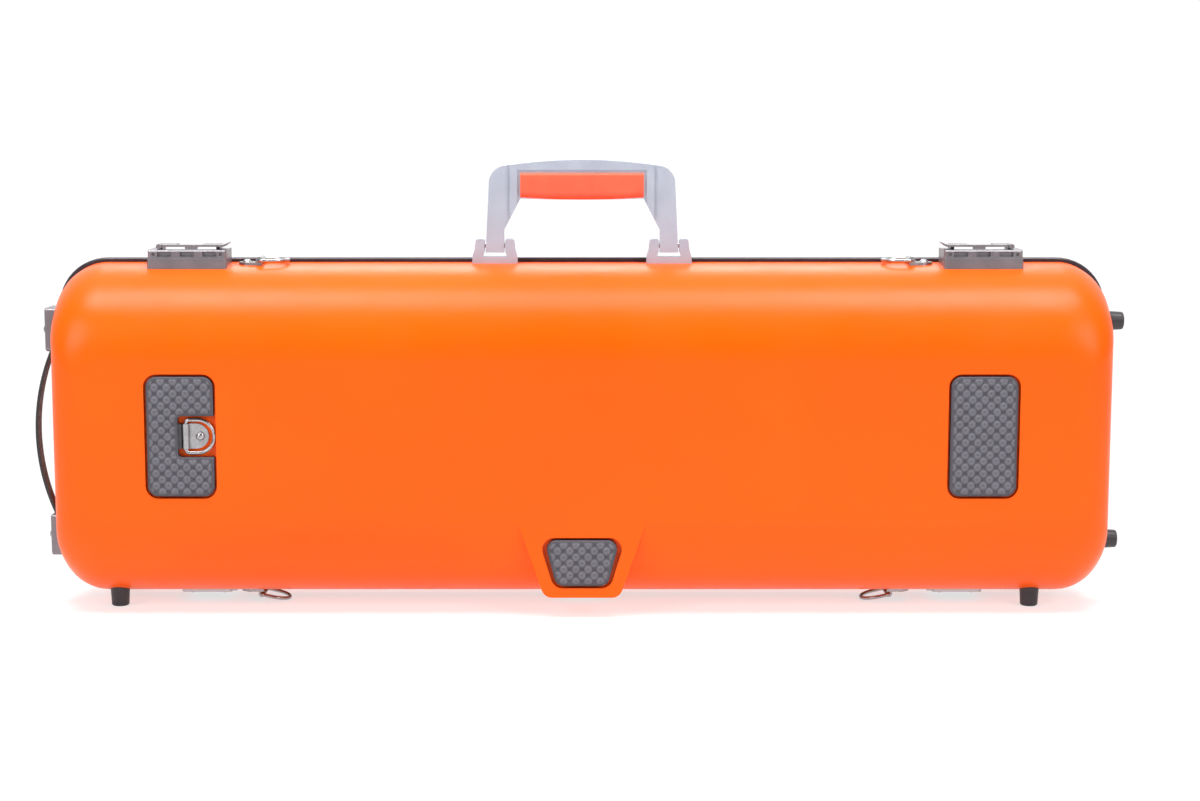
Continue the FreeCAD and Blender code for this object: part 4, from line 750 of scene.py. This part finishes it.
def make_pads():
    low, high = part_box("end_pad")
    rubber_pad("end_pad_rubber", "end_pad", outline_distance(rectangle_of(low, high), PAD_CORNER))

    low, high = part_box("strap_pad")
    whole = outline_distance(rectangle_of(low, high), PAD_CORNER)
    middle = (low.z + high.z) / 2
    cut_low = Vector((high.x - NOTCH_DEPTH, 0, middle - NOTCH_HALF))
    cut_high = Vector((high.x + NOTCH_OVERRUN, 0, middle + NOTCH_HALF))
    notch = outline_distance(rectangle_of(cut_low, cut_high), NOTCH_CORNER)

    def notched(x, z):
        return np.maximum(whole(x, z), -notch(x, z))

    rubber_pad("strap_pad_rubber", "strap_pad", notched)

    low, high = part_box("heel_pad")
    centre = (low.x + high.x) / 2
    narrow_low = centre - HEEL_NARROW_HALF
    narrow_high = centre + HEEL_NARROW_HALF
    taper = [(narrow_low, low.z), (narrow_high, low.z), (high.x, high.z), (low.x, high.z)]
    rubber_pad("heel_pad_rubber", "heel_pad", outline_distance(taper, HEEL_CORNER))


# ==== padded interior ===================================================================
CRADLE_VOXEL = 3.0 * MM
CRADLE_SMOOTHING = 5
CRADLE_WAVES = 55.0
CRADLE_UNEVEN = 0.45 * MM
PIPING_R = 1.5 * MM
PIPING_SINK = 0.9 * MM
PIPING_STEP = 4.0 * MM
SMALLEST_POCKET = 30.0 * MM
OUTER_EDGE_SHARE = 0.9
BLOCK_VOXEL = 2.2 * MM
BLOCK_PRESSURE = 4.0
BLOCK_PUFF = 3.0 * MM
BLOCK_SEWN = 3 * MM
BLOCK_SHARES = (0.94, 0.97, 0.96)
REST_VOXEL = 2.4 * MM
REST_PRESSURE = 3.0
REST_PUFF = 2.0 * MM
REST_SEWN = 4 * MM


def make_cradle():
    low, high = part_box("cradle_foam")
    cover = copy_of_node("cradle_foam", "cradle_cover")
    remesh(cover, CRADLE_VOXEL, CRADLE_SMOOTHING)
    uneven(cover, "cradle_foam", CRADLE_WAVES, SEED, CRADLE_UNEVEN)
    finish_piece(cover, "base", "plush_grey", "cradle_foam")
    number = 0
    for loop in edge_loops("cradle_foam", high.y, 1):
        line = resampled(loop, PIPING_STEP)
        spread = line.max(0) - line.min(0)
        outer_edge = spread[0] > OUTER_EDGE_SHARE * (high.x - low.x)
        if outer_edge or max(spread) < SMALLEST_POCKET:
            continue
        line[:, 1] = high.y - PIPING_SINK
        cord = tube("cradle_piping_%d" % number, line, PIPING_R)
        finish_piece(cord, "base", "velvet_orange")
        number += 1


def make_small_cushions():
    for node_name in ("upper_block_cushion", "lower_block_cushion"):
        low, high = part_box(node_name)
        cushion = copy_of_node(node_name, node_name + "_cover")
        scale_about(cushion, low, high, BLOCK_SHARES)
        points = coordinates(cushion)
        points[:, 1] += low.y - points[:, 1].min()
        set_coordinates(cushion, points)
        sewn = low.y + BLOCK_SEWN
        puff(cushion, BLOCK_VOXEL, BLOCK_PRESSURE, BLOCK_PUFF,
             lambda p, level=sewn: p[:, 1] < level)
        keep_in_box(cushion, node_name)
        finish_piece(cushion, "base", "velvet_orange", node_name)

    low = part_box("neck_rest")[0]
    rest = copy_of_node("neck_rest", "neck_rest_cover")
    level = low.y + REST_SEWN
    puff(rest, REST_VOXEL, REST_PRESSURE, REST_PUFF, lambda p: p[:, 1] < level)
    keep_in_box(rest, "neck_rest")
    finish_piece(rest, "base", "velvet_orange", "neck_rest")


STITCH_LENGTH = 2.6 * MM
STITCH_GAP = 1.5 * MM
STITCH_R = 0.28 * MM
STITCH_LIFT = 0.3 * MM
STITCH_SIDES = 6
STITCH_POINTS = (0, 0.25, 0.5, 0.75, 1)


def stitch_row(name, start, end, body):
    """A straight row of short stitches raised along Y."""
    start, end = Vector(start), Vector(end)
    along = (end - start).normalized()
    rise = Vector((0, 1, 0))
    side = along.cross(rise)
    count = max(1, int((end - start).length / (STITCH_LENGTH + STITCH_GAP)))
    pitch = (end - start).length / count
    vertices = []
    faces = []
    for number in range(count):
        a = start + along * (pitch * number + STITCH_GAP / 2)
        head = len(vertices)
        for share in STITCH_POINTS:
            lifted = rise * (STITCH_LIFT * math.sin(math.pi * share))
            point = a + along * (STITCH_LENGTH * share) + lifted
            first = len(vertices)
            for step in range(STITCH_SIDES):
                angle = 2 * math.pi * step / STITCH_SIDES
                around = side * math.cos(angle) + rise * math.sin(angle)
                vertices.append(point + around * STITCH_R)
            if first > head:
                last = first - STITCH_SIDES
                for step in range(STITCH_SIDES):
                    turn = (step + 1) % STITCH_SIDES
                    faces.append((last + step, first + step, first + turn, last + turn))
        faces.append(tuple(range(first, first + STITCH_SIDES)))
        faces.append(tuple(reversed(range(head, head + STITCH_SIDES))))
    row = object_from(name, vertices, faces)
    row.data.materials.append(THREAD)
    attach(row, body)


STRAP_ACROSS = 24
STRAP_ALONG = 60
STRAP_RIM_POWER = 8
STRAP_FLAT = 0.82
STRAP_BINDING = 0.18
BINDING_AT = 0.86
BINDING_SPREAD = 0.05
SEWN_SINK = 0.16 * MM
SEWN_SIDE = 3.5 * MM
SEWN_END = 3 * MM
SEWN_TOP_LENGTH = 9 * MM
SEWN_TIP_LENGTH = 11 * MM


def make_neck_strap():
    """Woven strap with a slightly crowned section, bound edges and box stitching."""
    low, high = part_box("neck_strap")
    across = STRAP_ACROSS
    along = STRAP_ALONG
    half = (high.x - low.x) / 2
    centre = (low.x + high.x) / 2
    thick = high.y - low.y
    vertices = []
    for side in (-1, 1):
        for i in range(along + 1):
            z = low.z + (high.z - low.z) * i / along
            for j in range(across + 1):
                u = 2 * j / across - 1
                rim = math.sqrt(max(0.0, 1 - abs(u) ** STRAP_RIM_POWER))
                bound = STRAP_BINDING * math.exp(-((abs(u) - BINDING_AT) / BINDING_SPREAD) ** 2)
                height = thick / 2 * rim * (STRAP_FLAT + bound)
                y = (low.y + high.y) / 2 + side * height
                vertices.append((centre + u * half, y, z))
    faces = []
    row = across + 1
    layer = row * (along + 1)
    for i in range(along):
        for j in range(across):
            a = i * row + j
            faces.append((a, a + 1, a + row + 1, a + row))
            faces.append((layer + a, layer + a + row, layer + a + row + 1, layer + a + 1))
    for j in range(across):
        faces.append((j, layer + j, layer + j + 1, j + 1))
        end = along * row + j
        faces.append((end, end + 1, layer + end + 1, layer + end))
    strap = object_from("neck_strap_webbing", vertices, faces)
    work = bmesh.new()
    work.from_mesh(strap.data)
    bmesh.ops.remove_doubles(work, verts=work.verts, dist=1e-6)
    bmesh.ops.recalc_face_normals(work, faces=work.faces)
    work.to_mesh(strap.data)
    work.free()
    shade(strap.data)
    finish_piece(strap, "neck_strap", "webbing_black", "neck_strap")
    top = high.y - SEWN_SINK
    left, right = low.x + SEWN_SIDE, high.x - SEWN_SIDE
    sewn_high = high.z - SEWN_END
    tip_low = low.z + SEWN_END
    for label, z0, z1 in (("sewn", sewn_high - SEWN_TOP_LENGTH, sewn_high),
                          ("tip", tip_low, tip_low + SEWN_TIP_LENGTH)):
        rows = (("a", (left, top, z0), (right, top, z0)), ("b", (left, top, z1), (right, top, z1)),
                ("c", (left, top, z0), (left, top, z1)), ("d", (right, top, z0), (right, top, z1)))
        for letter, start, end in rows:
            stitch_row("strap_stitch_%s_%s" % (label, letter), start, end, "neck_strap")


QUILT_PITCH = 44.0 * MM
QUILT_DEPTH = 2.0 * MM
QUILT_SEAM = 3.0 * MM
LINING_VOXEL = 2.6 * MM
LINING_SMOOTHING = 3
LINING_FACING = -0.85
LINING_FLOOR = 12 * MM
LINING_PIPING_R = 1.3 * MM
LINING_PIPING_SINK = 1.4 * MM
LINING_PIPING_STEP = 5.0 * MM
LID_CUSHION_SHARES = (0.985, 1.0, 0.95)
LID_CUSHION_VOXEL = 3.2 * MM
LID_CUSHION_PRESSURE = 4.0
LID_CUSHION_PUFF = 5.0 * MM
LID_CUSHION_FACING = -0.3
LID_CUSHION_SEWN = 1.5 * MM
CHANNEL_COUNT = 6
CHANNEL_DEPTH = 2.2 * MM
CHANNEL_WIDTH = 0.05
CHANNEL_END = 0.08


def quilt_sink(x, z):
    """How far quilting sinks the cover: lines crossing in diamonds."""
    sink = np.zeros(x.shape)
    for direction in (1, -1):
        across = (x + direction * z) / math.sqrt(2)
        from_seam = np.abs((across + QUILT_PITCH / 2) % QUILT_PITCH - QUILT_PITCH / 2)
        sink = np.maximum(sink, np.exp(-((from_seam / QUILT_SEAM) ** 2)))
    return sink * QUILT_DEPTH


def make_lid_lining():
    low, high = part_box("lid_lining")
    lining = copy_of_node("lid_lining", "lid_lining_cover")
    remesh(lining, LINING_VOXEL, LINING_SMOOTHING)
    points = coordinates(lining)
    facing = normals_of(lining)
    inner = facing[:, 1] < LINING_FACING
    deep = points[:, 1] > high.y - LINING_FLOOR
    sink = quilt_sink(points[:, 0], points[:, 2])
    points[:, 1] += np.where(inner & deep, sink, 0.0)
    set_coordinates(lining, points)
    keep_in_box(lining, "lid_lining")
    finish_piece(lining, "lid", "plush_grey", "lid_lining")
    for number, loop in enumerate(edge_loops("lid_lining", low.y, -1)):
        line = resampled(loop, LINING_PIPING_STEP)
        line[:, 1] = low.y + LINING_PIPING_SINK
        cord = tube("lining_piping_%d" % number, line, LINING_PIPING_R)
        finish_piece(cord, "lid", "velvet_orange")


def make_lid_cushion():
    """Long cushion sewn down across its width in evenly spaced channels."""
    low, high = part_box("lid_cushion")
    cushion = copy_of_node("lid_cushion", "lid_cushion_cover")
    scale_about(cushion, low, high, LID_CUSHION_SHARES)
    level = high.y - LID_CUSHION_SEWN
    puff(cushion, LID_CUSHION_VOXEL, LID_CUSHION_PRESSURE, LID_CUSHION_PUFF,
         lambda p: p[:, 1] > level)
    points = coordinates(cushion)
    front = normals_of(cushion)[:, 1] < LID_CUSHION_FACING
    span = (points[:, 0] - low.x) / (high.x - low.x)
    from_seam = (span * CHANNEL_COUNT + 0.5) % 1 - 0.5
    between_ends = (span > CHANNEL_END) * (span < 1 - CHANNEL_END)
    channel = np.exp(-(from_seam / CHANNEL_WIDTH) ** 2) * between_ends
    points[:, 1] += np.where(front, channel * CHANNEL_DEPTH, 0.0)
    set_coordinates(cushion, points)
    keep_in_box(cushion, "lid_cushion")
    finish_piece(cushion, "lid", "velvet_orange", "lid_cushion")


POCKET_VOXEL = 1.3 * MM
POCKET_SMOOTHING = 4
POCKET_WAVES = 140.0
POCKET_UNEVEN = 0.25 * MM
POCKET_WIDTH = 34.0 * MM
POCKET_WALL = 1.5 * MM
BINDING_R = 1.1 * MM
BINDING_INSET = 1.2 * MM
BINDING_STEP = 2.5 * MM


def make_frog_pockets():
    low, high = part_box("frog_pockets")
    pockets = copy_of_node("frog_pockets", "frog_pocket_covers")
    remesh(pockets, POCKET_VOXEL, POCKET_SMOOTHING)
    uneven(pockets, "frog_pockets", POCKET_WAVES, SEED + 1, POCKET_UNEVEN)
    finish_piece(pockets, "lid", "plush_grey", "frog_pockets")
    x = low.x + BINDING_INSET
    y0 = low.y + POCKET_WALL
    y1 = high.y - POCKET_WALL
    for label, start in (("lower", low.z), ("upper", high.z - POCKET_WIDTH)):
        z0 = start + POCKET_WALL
        z1 = start + POCKET_WIDTH - POCKET_WALL
        corners = [(x, y0, z0), (x, y1, z0), (x, y1, z1), (x, y0, z1)]
        band = tube("frog_binding_" + label, resampled(corners, BINDING_STEP), BINDING_R)
        finish_piece(band, "lid", "velvet_orange")


# ==== small added block beside the ring clip ============================================
SIDE_BLOCK_WIDTH = 3.4 * MM
SIDE_BLOCK_GAP = 0.3 * MM
SIDE_BLOCK_SINK = 1.2 * MM
SIDE_BLOCK_EDGE = 0.5 * MM


def make_ring_side_block():
    """Dark block beside the back ring's sleeve."""
    low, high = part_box("ring_clip_back")
    x1 = low.x - SIDE_BLOCK_GAP
    x0 = x1 - SIDE_BLOCK_WIDTH
    work = bmesh.new()
    bmesh.ops.create_cube(work, size=1.0)
    for vertex in work.verts:
        vertex.co.x = x0 if vertex.co.x < 0 else x1
        vertex.co.y = low.y + SIDE_BLOCK_SINK if vertex.co.y < 0 else high.y
        vertex.co.z = low.z if vertex.co.z < 0 else high.z
    bmesh.ops.bevel(work, geom=list(work.edges), offset=SIDE_BLOCK_EDGE, segments=3, profile=0.6,
                    affect="EDGES")
    mesh = bpy.data.meshes.new("ring_side_block")
    work.to_mesh(mesh)
    work.free()
    finish_piece(linked_object("ring_side_block", mesh), "base", "clip_plastic")


# ==== stage =============================================================================
TARGET = Vector((0.0034, -0.02915, 0.1324))
CAMERA_DISTANCE = 1.75
CAMERA_ELEVATION = math.radians(8.0)
LENS = 70.5
SENSOR_WIDTH = 36.0
SHIFT_X = 0.015
SHIFT_Y = 0.02625
TABLE_HALF = 4
TABLE_BACK = 0.062
WORLD_FADE = (("From Min", -0.35), ("From Max", 0.75), ("To Min", 0.10), ("To Max", 1.05))
# name, place, what it points at, width, height, watts
LIGHTS = (
    ("top_box", (0, -0.35, 1.75), (0, -0.05, 0.15), 2.0, 0.7, 30),
    ("top_left", (-0.62, -0.33, 1.74), (-0.45, -0.1, 0.15), 0.55, 0.7, 10),
    ("top_right", (0.62, -0.33, 1.74), (0.45, -0.1, 0.15), 0.55, 0.7, 10),
    ("front_left", (-1.7, -1.7, 1.25), (0, -0.05, 0.13), 1.1, 1.1, 24),
    ("front_right", (1.7, -1.7, 1.25), (0, -0.05, 0.13), 1.1, 1.1, 24),
    ("back_fill", (0, 1.9, 1.6), (0, 0.05, 0.1), 1.6, 0.9, 16),
)


def make_camera():
    data = bpy.data.cameras.new("camera")
    data.lens = LENS
    data.sensor_width = SENSOR_WIDTH
    data.shift_x = SHIFT_X
    data.shift_y = SHIFT_Y
    camera = linked_object("camera", data)
    back = Vector((0, -math.cos(CAMERA_ELEVATION), math.sin(CAMERA_ELEVATION)))
    camera.location = TARGET + back * CAMERA_DISTANCE
    camera.rotation_mode = "QUATERNION"
    camera.rotation_quaternion = (-back).to_track_quat("-Z", "Y")
    bpy.context.scene.camera = camera


def soft_light(name, location, target, width, height, power):
    data = bpy.data.lights.new(name, "AREA")
    data.shape = "RECTANGLE"
    data.size = width
    data.size_y = height
    data.energy = power
    light = linked_object(name, data)
    light.location = location
    direction = Vector(target) - Vector(location)
    light.rotation_mode = "QUATERNION"
    light.rotation_quaternion = direction.to_track_quat("-Z", "Y")


def make_stage():
    corners = [(-TABLE_HALF, -TABLE_HALF, 0), (TABLE_HALF, -TABLE_HALF, 0),
               (TABLE_HALF, TABLE_BACK, 0), (-TABLE_HALF, TABLE_BACK, 0)]
    table = object_from("table_top", corners, [(0, 1, 2, 3)], smooth=False)
    s = Shader("table_white", Roughness=0.85, Specular_IOR_Level=0.1,
               Emission_Color=(1, 1, 1, 1), Emission_Strength=0.62)
    s.colour(s.mixed(*PALETTE["table_white"], s.noise(3.0, 2.0)))
    table.data.materials.append(s.material)

    scene = bpy.context.scene
    scene.view_settings.view_transform = "Standard"
    world = bpy.data.worlds.new("studio")
    world.use_nodes = True
    scene.world = world
    tree = world.node_tree
    background = tree.nodes["Background"]
    coords = tree.nodes.new("ShaderNodeTexCoord")
    split = tree.nodes.new("ShaderNodeSeparateXYZ")
    fade = tree.nodes.new("ShaderNodeMapRange")
    fade.interpolation_type = "SMOOTHSTEP"
    for key, value in WORLD_FADE:
        fade.inputs[key].default_value = value
    tree.links.new(coords.outputs["Generated"], split.inputs[0])
    tree.links.new(split.outputs["Y"], fade.inputs["Value"])
    tree.links.new(fade.outputs["Result"], background.inputs["Strength"])
    background.inputs["Color"].default_value = (1, 1, 1, 1)

    for light in LIGHTS:
        soft_light(*light)


# ==== assembly ==========================================================================
dress_cad_nodes()
for rounding in EDGE_ROUNDING:
    soften_edges(*rounding)
make_pads()
make_cradle()
make_small_cushions()
make_neck_strap()
make_lid_lining()
make_lid_cushion()
make_frog_pockets()
make_ring_side_block()
make_camera()
make_stage()
